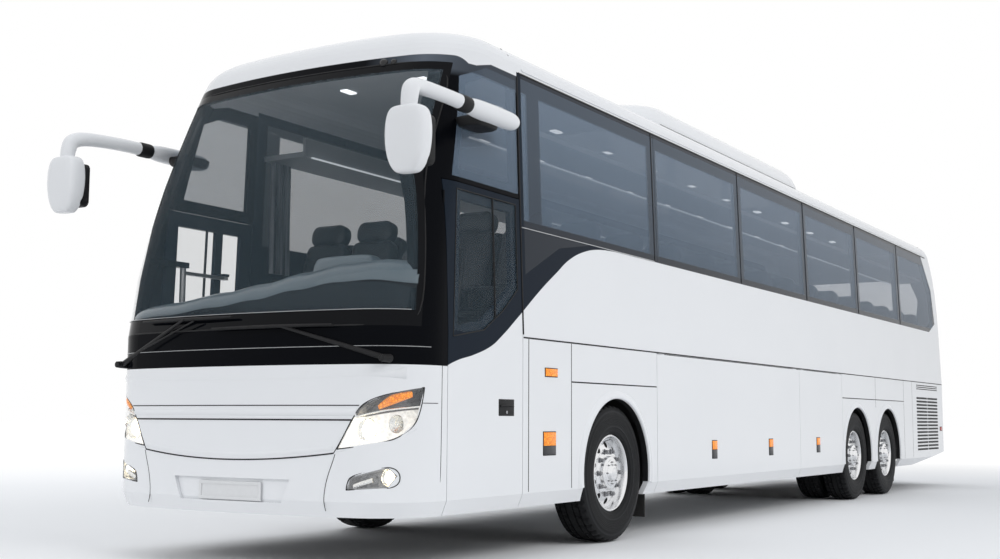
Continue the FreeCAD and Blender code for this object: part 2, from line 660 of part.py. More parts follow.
def passenger_deck():
    """Deck behind the aisle's step, and the plates on both sides of that step."""
    y0, y1 = at(DECK_Y), at(DECK_Y) + STEP_RUN
    z = (DECK_Z - FLOOR, DECK_Z)
    return floor_plates(box(-HALF, HALF, y1, REAR, *z), box(-HALF, -AISLE, y0, y1, *z),
                        box(AISLE, HALF, y0, y1, *z))


def deck_riser():
    """Front edge of the deck, lower across the aisle, and the step behind it."""
    y0, y1 = at(DECK_Y), at(DECK_Y) + STEP_RUN
    foot, under = CAB_Z - FLOOR, AISLE_STEP_Z - FLOOR
    edges = [box(-HALF, -AISLE, y0, y0 + FLOOR, foot, DECK_Z - FLOOR),
             box(AISLE, HALF, y0, y0 + FLOOR, foot, DECK_Z - FLOOR),
             box(-AISLE, AISLE, y0, y0 + FLOOR, foot, under)]
    step = box(-AISLE, AISLE, y0, y1 + FLOOR, under, AISLE_STEP_Z)
    back = box(-AISLE, AISLE, y1, y1 + FLOOR, AISLE_STEP_Z, DECK_Z - FLOOR)
    return floor_plates(*edges, step, back)


def cab_floor():
    """Lower floor beside the driver, with the entry well left open in it."""
    y0, y1 = DOOR_FRONT + WELL_INSET, DOOR_REAR - WELL_INSET
    z = (CAB_Z - FLOOR, CAB_Z)
    return floor_plates(box(-STEP_X[2], HALF, FRONT, at(DECK_Y), *z),
                        box(-HALF, -STEP_X[2], FRONT, y0, *z),
                        box(-HALF, -STEP_X[2], y1, at(DECK_Y), *z))


def entry_steps():
    """Two treads with the riser behind each, hung from the cab floor."""
    y0, y1 = DOOR_FRONT + WELL_INSET, DOOR_REAR - WELL_INSET
    return floor_plates(
        box(TUCK_IN - STEP_X[0], -STEP_X[1], y0, y1, STEP_Z[0] - TREAD, STEP_Z[0]),
        box(-STEP_X[1], -STEP_X[1] + RISER, y0, y1, STEP_Z[0] - TREAD, STEP_Z[1] - TREAD),
        box(-STEP_X[1], -STEP_X[2], y0, y1, STEP_Z[1] - TREAD, STEP_Z[1]),
        box(-STEP_X[2], -STEP_X[2] + RISER, y0, y1, STEP_Z[1] - TREAD, CAB_Z - FLOOR))


def luggage_bay():
    """Bay floor and its two bulkheads, closed above by the deck."""
    half = STEP_X[0]
    y0, y1 = at(BAY_Y[0]), at(BAY_Y[1])
    top = DECK_Z - FLOOR
    return fuse([
        box(-half, half, y0, y1, BAY_Z - FLOOR, BAY_Z),
        box(-half, half, y0 - BULKHEAD, y0, BAY_Z - FLOOR, top),
        box(-half, half, y1, y1 + BULKHEAD, BAY_Z - FLOOR, top),
    ])


def housing(sign, y0, y1):
    """Tub over one or two wheels: bevelled tunnel with an inner wall."""
    inner, outer = HOUSING_X, HALF - WALL - CLEAR
    outline = [(y0, HOUSING_FOOT_Z), (y1, HOUSING_FOOT_Z), (y1, HOUSING_TOP_Z - HOUSING_BEVEL),
               (y1 - HOUSING_BEVEL, HOUSING_TOP_Z), (y0 + HOUSING_BEVEL, HOUSING_TOP_Z),
               (y0, HOUSING_TOP_Z - HOUSING_BEVEL)]
    room = shrunk(outline, HOUSING_WALL)
    room = [(y, z - 2 * HOUSING_WALL if z < HOUSING_TOP_Z - HOUSING_BEVEL - 100 else z) for y, z in room]
    tub = side_prism(outline, sign * inner, sign * outer)
    return tub.cut(side_prism(room, sign * (inner + HOUSING_WALL), sign * (outer + 5)))


def mud_flap(sign, y):
    outer = HALF - TUCK_IN - WALL - MUD_FLAP_GAP
    xs = sorted((sign * (outer - MUD_FLAP_W), sign * outer))
    return box(*xs, y - HOUSING_WALL, y, MUD_FLAP_Z, HOUSING_FOOT_Z)


def axle_passage(axle, sign):
    """Slot in a housing's inner wall, open below, that an axle passes through."""
    y, half = at(AXLE_Y[axle]), TUBE_R + AXLE_ROOM
    xs = sorted((sign * (HOUSING_X - 5), sign * (HOUSING_X + HOUSING_WALL + 5)))
    return box(*xs, y - half, y + half, 0, TYRE_R + half)


def wheel_housings():
    tubs = []
    for sign in (1, -1):
        for first, last in (("front", "front"), ("drive", "tag")):
            reach = HOUSING_REACH[first]
            y0, y1 = at(AXLE_Y[first]) - reach, at(AXLE_Y[last]) + reach
            passages = [axle_passage(axle, sign) for axle in (first, last)]
            tubs.append(fuse([housing(sign, y0, y1), mud_flap(sign, y1)]).cut(passages))
    return tubs


def rail(y0, y1, z0, z1):
    return [box(RAIL_X, RAIL_X + RAIL_W, y0, y1, z0, z1),
            box(-RAIL_X - RAIL_W, -RAIL_X, y0, y1, z0, z1)]


def crossbar(y, z0, z1, half, depth=80.0):
    return box(-half, half, y - depth / 2, y + depth / 2, z0, z1)


def front_subframe():
    """Two rails and three crossbars under the cab floor, welded end to side."""
    front_end, bay_front = FRONT + 350, at(BAY_Y[0]) - BULKHEAD
    top = CAB_Z - FLOOR
    bars = [crossbar(y, top - RAIL_H, top, RAIL_X) for y in (front_end + 40, at(-1300), at(650))]
    return rail(front_end, bay_front, top - RAIL_H, top) + bars


def towing_eye():
    """Tongue ahead of the front crossbar, with the hole for a towing bar's pin."""
    front_end = FRONT + 350
    tongue = box(-TOW_HALF, TOW_HALF, front_end - TOW_LENGTH, front_end, TOW_Z, TOW_Z + TOW_H)
    return tongue.cut(cylinder(V(0, front_end - TOW_LENGTH / 2, TOW_Z - 1), V(0, 0, 1), TOW_PIN_R,
                               TOW_H + 2))


def rear_subframe():
    """Two rails and three crossbars over the rear axles, with posts up to the deck."""
    bay_rear, tail = at(BAY_Y[1]) + BULKHEAD, REAR - WALL - 60
    rail_top, under = REAR_RAIL_Z + RAIL_H, DECK_Z - FLOOR
    members = rail(bay_rear, tail, REAR_RAIL_Z, rail_top)
    members += [crossbar(y, REAR_RAIL_Z, rail_top, RAIL_X)
                for y in (bay_rear + 40, at(AXLE_Y["tag"]) - TAG_SPACING / 2, at(REAR_PANEL_Y))]
    for y in (bay_rear + 40, at(REAR_PANEL_Y), tail - 40):
        members += [box(*sorted((s * RAIL_X, s * (RAIL_X + RAIL_W))), y - 40, y + 40,
                        rail_top, under) for s in (1, -1)]
    return members


def engine():
    half = RAIL_X - CLEAR
    y1 = REAR - WALL - 180
    return box(-half, half, y1 - ENGINE_LENGTH, y1, *ENGINE_Z)


# ---------------------------------------------------------------- axles, knuckles and wheels
def bellows(x, y, z0, z1):
    """Air spring: two round lobes between an axle and a rail."""
    third = (z1 - z0) / 3
    ring = [(0, 0), (0, 95), (third / 2, 120), (third, 118), (1.5 * third, 96), (2 * third, 118),
            (2.5 * third, 120), (3 * third, 95), (3 * third, 0)]
    points = [V(x + r, y, z0 + a) for a, r in ring]
    face = Part.Face(Part.makePolygon(points + [points[0]]))
    return face.revolve(V(x, y, z0), V(0, 0, 1), 360)


def front_axle():
    """Beam with an eye at each end for the kingpins, its air springs and trailing arms."""
    y = at(0)
    pieces = [box(-KINGPIN_X, KINGPIN_X, y - 45, y + 45, BEAM_Z - BEAM_H, BEAM_Z)]
    for sign in (1, -1):
        x = sign * KINGPIN_X
        pieces.append(cylinder(V(x, y, TYRE_R - EYE_H / 2), V(0, 0, 1), 58, EYE_H))
        pieces.append(bellows(sign * (RAIL_X + RAIL_W / 2), y, BEAM_Z, CAB_Z - FLOOR - RAIL_H))
    bores = [cylinder(V(s * KINGPIN_X, y, 0), V(0, 0, 1), KINGPIN_R + RUNNING, 2 * TYRE_R)
             for s in (1, -1)]
    return fuse(pieces).cut(bores)


def knuckle(sign):
    """Fork over the beam's eye, kingpin and the spindle that carries the wheel."""
    y = at(0)
    low, high = TYRE_R - EYE_H / 2 - KNUCKLE_GAP, TYRE_R + EYE_H / 2 + KNUCKLE_GAP
    xs = sorted((sign * (KINGPIN_X - 50), sign * WEB_X[1]))
    web = sorted((sign * WEB_X[0], sign * WEB_X[1]))
    pieces = [
        box(*xs, y - 48, y + 48, low - KNUCKLE_T, low),
        box(*xs, y - 48, y + 48, high, high + KNUCKLE_T),
        box(*web, y - 48, y + 48, low - KNUCKLE_T, high + KNUCKLE_T),
        cylinder(V(sign * KINGPIN_X, y, low - KNUCKLE_T), V(0, 0, 1), KINGPIN_R,
                 high - low + 2 * KNUCKLE_T),
        cylinder(V(sign * WEB_X[0], y, TYRE_R), V(sign, 0, 0), SPINDLE_R,
                 TRACK_X + SPINDLE_END - WEB_X[0]),
    ]
    return fuse(pieces)


def driven_axle():
    """Axle tube with its differential, spindles for the twin wheels and four air springs."""
    y = at(AXLE_Y["drive"])
    end = TRACK_X - TWIN_STEP - HUB_BACK - 12
    pieces = [
        cylinder(V(-end, y, TYRE_R), V(1, 0, 0), TUBE_R, 2 * end),
        cylinder(V(-TRACK_X - SPINDLE_END, y, TYRE_R), V(1, 0, 0), SPINDLE_R, 2 * (TRACK_X + SPINDLE_END)),
        turned([(-190, 0), (-190, 110), (-110, 190), (110, 190), (190, 110), (190, 0)],
               V(0, y, TYRE_R), V(1, 0, 0)),
    ]
    for sign in (1, -1):
        x = sign * (RAIL_X + RAIL_W / 2)
        pieces.append(box(x - 60, x + 60, y - 420, y + 420, TYRE_R - 60, TYRE_R + 20))
        pieces += [bellows(x, y + step, TYRE_R + 20, REAR_RAIL_Z) for step in (-290, 290)]
    return fuse(pieces)


def tag_axle():
    y = at(AXLE_Y["tag"])
    end = TRACK_X - HUB_BACK - 12
    pieces = [
        cylinder(V(-end, y, TYRE_R), V(1, 0, 0), TUBE_R - 10, 2 * end),
        cylinder(V(-TRACK_X - SPINDLE_END, y, TYRE_R), V(1, 0, 0), SPINDLE_R, 2 * (TRACK_X + SPINDLE_END)),
    ]
    for sign in (1, -1):
        x = sign * (RAIL_X + RAIL_W / 2)
        pieces.append(box(x - 60, x + 60, y - 150, y + 150, TYRE_R - 60, TYRE_R + 20))
        pieces.append(bellows(x, y, TYRE_R + 20, REAR_RAIL_Z))
    return fuse(pieces)


# wheel section, (distance outboard of the tyre's middle, radius)
BORE = SPINDLE_R + RUNNING
RIM = [(-120, RIM_R), (-120, RIM_R - 14), (-98, RIM_R - 26), (14, RIM_R - 34), (44, RIM_R - 76),
       (56, 150), (50, 118)]
HUB = [(-HUB_BACK, 112), (-HUB_BACK, BORE), (100, BORE), (100, 0), (150, 0), (146, 52), (128, 84),
       (122, 142)]
FACE = [(88, 160), (72, RIM_R - 76), (46, RIM_R - 30), (100, RIM_R - 26), (120, RIM_R - 14),
        (120, RIM_R), (106, RIM_R), (98, RIM_R - 10), (-98, RIM_R - 10), (-106, RIM_R)]
# inner wheel of a twin pair: barrel and a disc that meets the outer wheel's hub
MEET = TWIN_STEP - HUB_BACK
TWIN = [(-120, RIM_R), (-120, RIM_R - 14), (-98, RIM_R - 26), (60, RIM_R - 34), (90, 200), (100, 112),
        (-HUB_BACK, 112), (-HUB_BACK, BORE), (MEET, BORE), (MEET, 112), (128, 112), (118, 214),
        (92, RIM_R - 26), (110, RIM_R - 14), (120, RIM_R), (106, RIM_R), (98, RIM_R - 10),
        (-98, RIM_R - 10), (-106, RIM_R)]
TYRE_SIDE = [(96, RIM_R - 9.5), (104, RIM_R + 0.9), (122, RIM_R + 7), (136, RIM_R + 40),
             (143, RIM_R + 80), (145, (RIM_R + TYRE_R) / 2), (142, TYRE_R - 82), (135, TYRE_R - 52),
             (126, TYRE_R - 28), (112, TYRE_R - 13), (85, TYRE_R - 5), (40, TYRE_R - 1), (0, TYRE_R)]


def wheel_centre(axle, sign, step=0.0):
    return V(sign * (TRACK_X - step), at(AXLE_Y[axle]), TYRE_R)


def rim(axle, sign):
    """Wheel and hub."""
    outward = V(sign, 0, 0)
    centre = wheel_centre(axle, sign)
    wheel = turned(RIM + HUB + FACE, centre, outward)
    holes = []
    for i in range(HAND_HOLES):
        turn = 2 * math.pi * i / HAND_HOLES
        start = centre + V(0, math.cos(turn), math.sin(turn)) * HAND_HOLE_RING
        holes.append(cylinder(start, outward, HAND_HOLE_R, 110))
    return wheel.cut(holes)


def inner_rim(sign):
    """Inner wheel of the drive axle's pair, against the back of the outer wheel's hub."""
    return turned(TWIN, wheel_centre("drive", sign, TWIN_STEP), V(sign, 0, 0))


def tyre(axle, sign):
    """Tyre, or the drive axle's pair."""
    profile = [(-a, r) for a, r in TYRE_SIDE[:-1]] + TYRE_SIDE[::-1]
    steps = (0.0, TWIN_STEP) if axle == "drive" else (0.0,)
    return [turned(profile, wheel_centre(axle, sign, step), V(1, 0, 0)) for step in steps]


# ---------------------------------------------------------------- passenger door's arm
SHAFT = V(-SHAFT_X, DOOR_FRONT + SHAFT_INSET, 0)
EYE = SHAFT + V(0, ARM_LENGTH, 0)


def entry_door():
    """Passenger door with its mullion and the two lugs its arm carries."""
    x = side_band(-1, SIDE_IN)
    door = region([LOWER_SKIN, UPPER_SKIN], *x, DOOR_FRONT + ENTRY_GAP, DOOR_REAR - ENTRY_GAP,
                  SKIRT_Z, DOOR_TOP_Z - DOOR_GAP)
    recess, through = rebate(ENTRY_PANE, -1)
    mullion = box(*x, EYE.y - MULLION / 2, EYE.y + MULLION / 2, 0, DOOR_TOP_Z)
    door = cut(door, [recess, through.cut(mullion)])
    lugs = []
    for z in ARM_Z:
        lug = box(-HALF + WALL / 2, EYE.x + 25, EYE.y - 25, EYE.y + 25, z + ARM_T / 2 + LUG_GAP,
                  z + ARM_T / 2 + LUG_GAP + LUG_T)
        pin = cylinder(V(EYE.x, EYE.y, z - ARM_T / 2), V(0, 0, 1), PIN_R, ARM_T + LUG_GAP + 10)
        lugs.append(lug.cut(REBATE_LAYER).fuse(pin))
    return door.fuse(lugs)


def door_arm():
    """Shaft on the front pillar and the two bars that swing the passenger door."""
    low, high = BEARING_Z
    pieces = [cylinder(V(SHAFT.x, SHAFT.y, low), V(0, 0, 1), SHAFT_R, high - low + BEARING_H)]
    for z in ARM_Z:
        pieces.append(box(SHAFT.x - 18, SHAFT.x + 18, SHAFT.y, EYE.y, z - ARM_T / 2, z + ARM_T / 2))
        pieces.append(cylinder(V(EYE.x, EYE.y, z - ARM_T / 2), V(0, 0, 1), 26, ARM_T))
    eyes = [cylinder(V(EYE.x, EYE.y, z - ARM_T), V(0, 0, 1), PIN_R + RUNNING, 2 * ARM_T) for z in ARM_Z]
    return fuse(pieces).cut(eyes)


def arm_bearings():
    """Brackets on the front pillar that hold the shaft."""
    brackets = []
    for z in BEARING_Z:
        foot = box(-HALF + WALL / 2, SHAFT.x + 32, DOOR_FRONT - 52, DOOR_FRONT - 5, z, z + BEARING_H)
        tongue = box(SHAFT.x - 32, SHAFT.x + 32, DOOR_FRONT - 52, SHAFT.y + 30, z, z + BEARING_H)
        hole = cylinder(V(SHAFT.x, SHAFT.y, z - 1), V(0, 0, 1), SHAFT_R + RUNNING, BEARING_H + 2)
        brackets.append(foot.fuse(tongue).cut(hole))
    return brackets


# ---------------------------------------------------------------- cabin
WHEEL_AT = V(STEER_X, at(STEER_Y), STEER_Z)
COLUMN = V(0, math.cos(math.radians(COLUMN_TILT)), math.sin(math.radians(COLUMN_TILT)))


def dashboard():
    """Console across the front, higher before the driver, with the steering column."""
    back = FRONT + DASH_DEPTH
    profile = [(FRONT, CAB_Z), (back, CAB_Z), (back, DASH_Z - 460), (back - 100, DASH_Z - 110),
               (back - 130, DASH_Z), (back - 250, DASH_Z), (FRONT, DASH_Z - 280)]
    skyline = [(-HALF, CAB_Z), (HALF, CAB_Z), (HALF, DASH_Z - 60), (HALF - 330, DASH_Z),
               (100, DASH_Z - 110), (195 - HALF, DASH_Z - 210), (-HALF, DASH_Z - 260)]
    block = side_prism(profile, -HALF, HALF).common(front_prism(skyline, FRONT, back))
    console = block.common(level(LOWER[1:], DASH_INSET)).fuse(block.common(level(UPPER[:3], DASH_INSET)))
    console = console.cut(lamp_room())
    column = cylinder(WHEEL_AT - COLUMN * COLUMN_LENGTH, COLUMN, 30, COLUMN_LENGTH - WHEEL_BOSS - LUG_GAP)
    return console.fuse(column)


def steering_wheel():
    rim_ring = Part.makeTorus(STEER_R, 17, WHEEL_AT, COLUMN)
    boss = cylinder(WHEEL_AT - COLUMN * WHEEL_BOSS, COLUMN, 62, WHEEL_BOSS + 8)
    side = V(1, 0, 0)
    down = COLUMN.cross(side)
    spokes = [cylinder(WHEEL_AT, side, 13, STEER_R), cylinder(WHEEL_AT, -side, 13, STEER_R),
              cylinder(WHEEL_AT, -down if down.z > 0 else down, 13, STEER_R)]
    return fuse([rim_ring, boss] + spokes)


def seat(x0, x1, y, cushion_z, back_top):
    """One place: cushion, raked back and headrest as one padded profile."""
    outline = [(y, cushion_z - 150), (y + 470, cushion_z - 150), (y + 640, back_top - 130),
               (y + 650, back_top), (y + 545, back_top), (y + 530, back_top - 150),
               (y + 390, cushion_z + 60), (y + 380, cushion_z), (y + 20, cushion_z + 10)]
    return side_prism(outline, x0, x1)


def passenger_seats():
    """Rows of double seats on both sides of the aisle."""
    rows = int((REAR - WALL - 760 - at(FIRST_ROW_Y)) // SEAT_PITCH) + 1
    pairs = []
    for row in range(rows):
        y = at(FIRST_ROW_Y) + row * SEAT_PITCH
        for sign in (1, -1):
            second = SEAT_X + SEAT_W + SEAT_SPACE
            xs = [(SEAT_X, SEAT_X + SEAT_W), (second, second + SEAT_W)]
            places = [seat(*sorted((sign * a, sign * b)), y, DECK_Z + 450, DECK_Z + SEAT_H)
                      for a, b in xs]
            beam = box(*sorted((sign * SEAT_X, sign * (second + SEAT_W))), y + 100, y + 400,
                       DECK_Z + 250, DECK_Z + 301)
            leg = box(*sorted((sign * (SEAT_X + 60), sign * (SEAT_X + 120))), y + 120, y + 380,
                      DECK_Z, DECK_Z + 250)
            pairs.append(fuse(places + [beam, leg]))
    return pairs


def driver_seat():
    y = at(DRIVER_Y)
    place = seat(STEER_X - 250, STEER_X + 250, y, DRIVER_CUSHION_Z, DRIVER_TOP_Z)
    base = box(STEER_X - 160, STEER_X + 160, y + 80, y + 400, CAB_Z, DRIVER_CUSHION_Z - 150)
    return fuse([place, base])


def luggage_racks():
    """Long trays over the seats, carried by the side walls."""
    tray = [(RACK_X, RACK_Z), (RACK_X, RACK_Z + 150), (RACK_X + 25, RACK_Z + 150),
            (RACK_X + 25, RACK_Z + 40), (HALF, RACK_Z + 40), (HALF, RACK_Z)]
    y0, y1 = at(RACK_Y), REAR - 750
    rack = front_prism(tray, y0, y1).common(level(UPPER, WALL + CLEAR))
    return [rack, mirrored(rack)]


def curtains():
    """Gathered curtains beside the front pillar of each side, hung from the racks."""
    out = []
    for sign in (1, -1):
        top = HALF - lean(RACK_Z) - WALL - 25
        xs = sorted((sign * (top - CURTAIN_T), sign * top))
        out.append(box(*xs, at(RACK_Y) + 20, at(RACK_Y) + 20 + CURTAIN_W, CURTAIN_Z, RACK_Z - SEAT_GAP))
    return out


# ---------------------------------------------------------------- mirrors and wipers
def mirror_arm(sign):
    """Pod along the side and the tube that carries the head out in front."""
    x = sign * MIRROR_X
    y0, y1 = at(MIRROR_POD_Y[0]), at(MIRROR_POD_Y[1])
    pod = cylinder(V(x, y0, MIRROR_Z), V(0, 1, 0), POD_R, y1 - y0)
    ends = [ball(V(x, y, MIRROR_Z), POD_R) for y in (y0, y1)]
    foot = box(*sorted((sign * (HALF - 120), x)), y0 + 120, y1 - 120, MIRROR_Z - 90, MIRROR_Z - 10)
    route = [V(x, y0, MIRROR_Z), V(x + sign * 20, y0 - 260, MIRROR_Z + 10),
             V(x + sign * 45, HEAD_Y - 10, MIRROR_Z - 30), V(sign * HEAD_X, HEAD_Y, HEAD_TOP_Z + 40),
             V(sign * HEAD_X, HEAD_Y, HEAD_TOP_Z)]
    tube = []
    for a, b in zip(route, route[1:]):
        tube += [cylinder(a, b - a, ARM_R, (b - a).Length), ball(b, ARM_R)]
    under = box(*side_band(sign, MIRROR_X), HEAD_Y - HEAD_DEPTH, HEAD_Y + HEAD_DEPTH, 0,
                HEAD_TOP_Z + SEAT_GAP)
    return fuse([pod, foot] + ends + tube).cut(AROUND + [under])


def rounded_section(x, y, z, wide, deep, radius):
    half_w, half_d = wide / 2 - radius, deep / 2 - radius
    k = radius * math.sqrt(0.5)
    edges = []
    corners = [(half_w, half_d, 0), (-half_w, half_d, 1), (-half_w, -half_d, 2), (half_w, -half_d, 3)]
    points = []
    for cx, cy, quarter in corners:
        turn = [math.radians(90 * quarter + a) for a in (0, 45, 90)]
        points.append([V(x + cx + radius * math.cos(t), y + cy + radius * math.sin(t), z) for t in turn])
    for i, arc in enumerate(points):
        edges.append(Part.Arc(*arc).toShape())
        edges.append(Part.makeLine(arc[2], points[(i + 1) % 4][0]))
    return Part.Wire(edges)


def mirror_head(sign):
    """Hanging head, narrower towards its foot."""
    # height below the top, width, depth, shift forward, corner radius
    rows = [(0, 150, 90, 0, 40), (60, 250, 150, 0, 60), (200, 265, 165, 0, 60), (330, 220, 140, 0, 55),
            (400, 130, 90, 0, 40)]
    wires = [rounded_section(sign * HEAD_X, HEAD_Y - shift, HEAD_TOP_Z - drop, wide, deep, radius)
             for drop, wide, deep, shift, radius in rows]
    return Part.makeLoft(wires[::-1], True, True)


def on_front(x, z, off):
    """Point standing off the front's outer face at (x, z)."""
    share = max(0.0, (z - BELT_Z) / (GUTTER_Z - BELT_Z))
    front = FRONT + SCREEN_SETBACK * share ** SCREEN_CURVE
    cx = HALF - lean(max(z, BELT_Z)) - FRONT_CORNER
    bow_y = front + FRONT_BOW
    if abs(x) < cx * FRONT_BOW / (FRONT_BOW - FRONT_CORNER):
        return V(x, bow_y - math.sqrt(FRONT_BOW ** 2 - x ** 2) - off, z)
    cy = bow_y - math.sqrt((FRONT_BOW - FRONT_CORNER) ** 2 - cx ** 2)
    return V(x, cy - math.sqrt(FRONT_CORNER ** 2 - (abs(x) - cx) ** 2) - off, z)


def wiper(pivot, elbow, tips):
    """Arm from its boss on the foot panel to the blade, standing clear of the glass."""
    a, b = on_front(*pivot, WIPER_OFF), on_front(*elbow, WIPER_OFF)
    t0, t1 = on_front(*tips[0], WIPER_OFF), on_front(*tips[1], WIPER_OFF)
    boss = cylinder(V(a.x, a.y - 15, a.z), V(0, 1, 0), 26, WIPER_OFF + 60)
    arm = cylinder(a, b - a, 11, (b - a).Length)
    blade = [cylinder(b, tip - b, 9, (tip - b).Length) for tip in (t0, t1)]
    whole = fuse([boss, arm, ball(b, 14)] + blade)
    return whole.cut(AROUND)


WIPERS = [  # pivot, elbow and the blade's two ends, (x, z)
    ((145 - HALF, HOOD_Z + 40), (-394, BELT_Z + 87), ((445 - HALF, BELT_Z + 87), (30, BELT_Z + 87))),
    ((HALF - 155, HOOD_Z + 40), (420, BELT_Z + 17), ((-138, BELT_Z + 17), (HALF - 483, BELT_Z + 17))),
]


# ---------------------------------------------------------------- write the nodes
def main():
    os.makedirs("parts", exist_ok=True)
    sides = {"left": 1, "right": -1}

    hood, grille, bumper = front_panels()
    write("front_hood_panel", hood)
    write("front_grille_panel", grille)
    write("front_bumper", bumper)
    frame = windscreen_frame()
    write("windscreen_frame", fuse([frame] + arm_bearings() + door_hinges()))
    write("windscreen", windscreen())
    lenses, bowls = [], []
    for outline in (LAMP, flipped(LAMP), FOG, flipped(FOG)):
        lens, bowl = lamp_solids(outline)
        lenses += lens
        bowls += bowl
    write("front_lamp_lenses", *lenses)
    write("front_lamp_bowls", *bowls)

    write("side_walls", *[side_wall(sign) for sign in sides.values()])
    for name, sign in sides.items():
        for place, (y0, y1) in FLAPS.items():
            write(f"{name}_luggage_door_{place}", luggage_door(sign, y0, y1))
    write("driver_door", side_door(1, DRIVER_PANE))
    write("driver_door_window", pane(DRIVER_PANE, 1))
    write("passenger_door", entry_door())
    write("passenger_door_window", pane(ENTRY_PANE, -1))
    write("passenger_door_arm", door_arm())
    side_outlines = [UPPER_PANE] + SIDE_PANES
    write("side_windows", *[pane(o, sign) for sign in sides.values() for o in side_outlines])

    write("rear_wall", rear_wall())
    write("rear_window", PANE_LAYER.common(rear_cut(REAR_PANE)))
    write("engine_lid", engine_lid())
    write("tail_lamps", *tail_lamps())
    for name, pieces in roof_parts().items():
        write(name, *pieces)
    write("air_conditioner", air_conditioner())

    write("passenger_deck", *passenger_deck())
    write("deck_riser", *deck_riser())
    write("cab_floor", *cab_floor())
    write("entry_steps", *entry_steps())
    write("luggage_bay", luggage_bay())
    write("wheel_housings", *wheel_housings())
    write("subframes", *front_subframe(), *rear_subframe())
    write("towing_eye", towing_eye())
    write("engine", engine())

    write("axles", front_axle(), driven_axle(), tag_axle())
    for name, sign in sides.items():
        write(f"{name}_knuckle", knuckle(sign))
        for axle in AXLE_Y:
            write(f"{axle}_{name}_wheel", rim(axle, sign))
            write(f"{axle}_{name}_tyre", *tyre(axle, sign))
        write(f"drive_{name}_inner_wheel", inner_rim(sign))

    write("dashboard", dashboard())
    write("steering_wheel", steering_wheel())
    write("seats", driver_seat(), *passenger_seats())
    write("luggage_racks", *luggage_racks())
    write("curtains", *curtains())
    write("mirror_arms", *[mirror_arm(s) for s in sides.values()])
    write("mirror_heads", *[mirror_head(s) for s in sides.values()])
    write("wipers", *[wiper(*row) for row in WIPERS])


main()
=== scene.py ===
"""Three-axle touring coach: the finish of every part and the pieces round its frame."""

import math

import bpy
from mathutils import Matrix, Vector


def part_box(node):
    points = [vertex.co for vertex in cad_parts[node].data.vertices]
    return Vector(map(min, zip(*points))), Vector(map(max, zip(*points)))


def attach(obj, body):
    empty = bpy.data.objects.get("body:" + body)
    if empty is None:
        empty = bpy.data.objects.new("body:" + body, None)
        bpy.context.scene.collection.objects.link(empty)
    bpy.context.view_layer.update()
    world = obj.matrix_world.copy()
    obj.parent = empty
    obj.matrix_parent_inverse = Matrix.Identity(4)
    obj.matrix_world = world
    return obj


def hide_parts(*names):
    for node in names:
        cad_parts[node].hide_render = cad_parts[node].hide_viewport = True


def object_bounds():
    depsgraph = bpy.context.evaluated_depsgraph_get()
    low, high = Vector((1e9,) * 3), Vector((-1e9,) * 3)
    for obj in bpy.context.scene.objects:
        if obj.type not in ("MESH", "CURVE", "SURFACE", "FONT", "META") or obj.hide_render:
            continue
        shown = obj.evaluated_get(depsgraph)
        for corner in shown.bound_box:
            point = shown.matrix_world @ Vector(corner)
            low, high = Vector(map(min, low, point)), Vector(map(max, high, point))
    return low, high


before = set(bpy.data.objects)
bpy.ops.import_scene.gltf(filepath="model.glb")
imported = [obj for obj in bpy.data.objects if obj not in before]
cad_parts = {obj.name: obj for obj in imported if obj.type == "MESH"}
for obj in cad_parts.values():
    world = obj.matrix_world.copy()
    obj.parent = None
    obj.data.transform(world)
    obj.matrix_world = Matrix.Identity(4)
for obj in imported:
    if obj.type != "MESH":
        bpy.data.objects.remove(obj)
cad_box = [list(corner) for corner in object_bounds()]

# ---------------------------------------------------------------- painted sides
# Steel side panels and door skins in white gloss, with a black field round the windows that
# sweeps down to the driver's door. Two coats of enamel under lacquer.
AXLE = sum(corner.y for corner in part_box("front_left_wheel")) / 2  # y of the front axle
PANES_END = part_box("side_windows")[1].y
BAND_Z, BAND_TOP = 2.236, 3.337
BLACK = (0.003, 0.0035, 0.005, 1)
SWOOSH = ((0.0, 0.03), (0.05, 0.085), (0.1, 0.12), (0.16, 0.18), (0.2, 0.25), (0.26, 0.373),
          (0.36, 0.585), (0.42, 0.7), (0.48, 0.81), (0.54, 0.88), (0.6, 0.92), (0.68, 0.939),
          (0.8, 0.942), (1.0, 0.942))
SWOOSH_Y, SWOOSH_RUN, SWOOSH_Z, SWOOSH_RISE = -2.4, 3.5, 1.2, 1.1


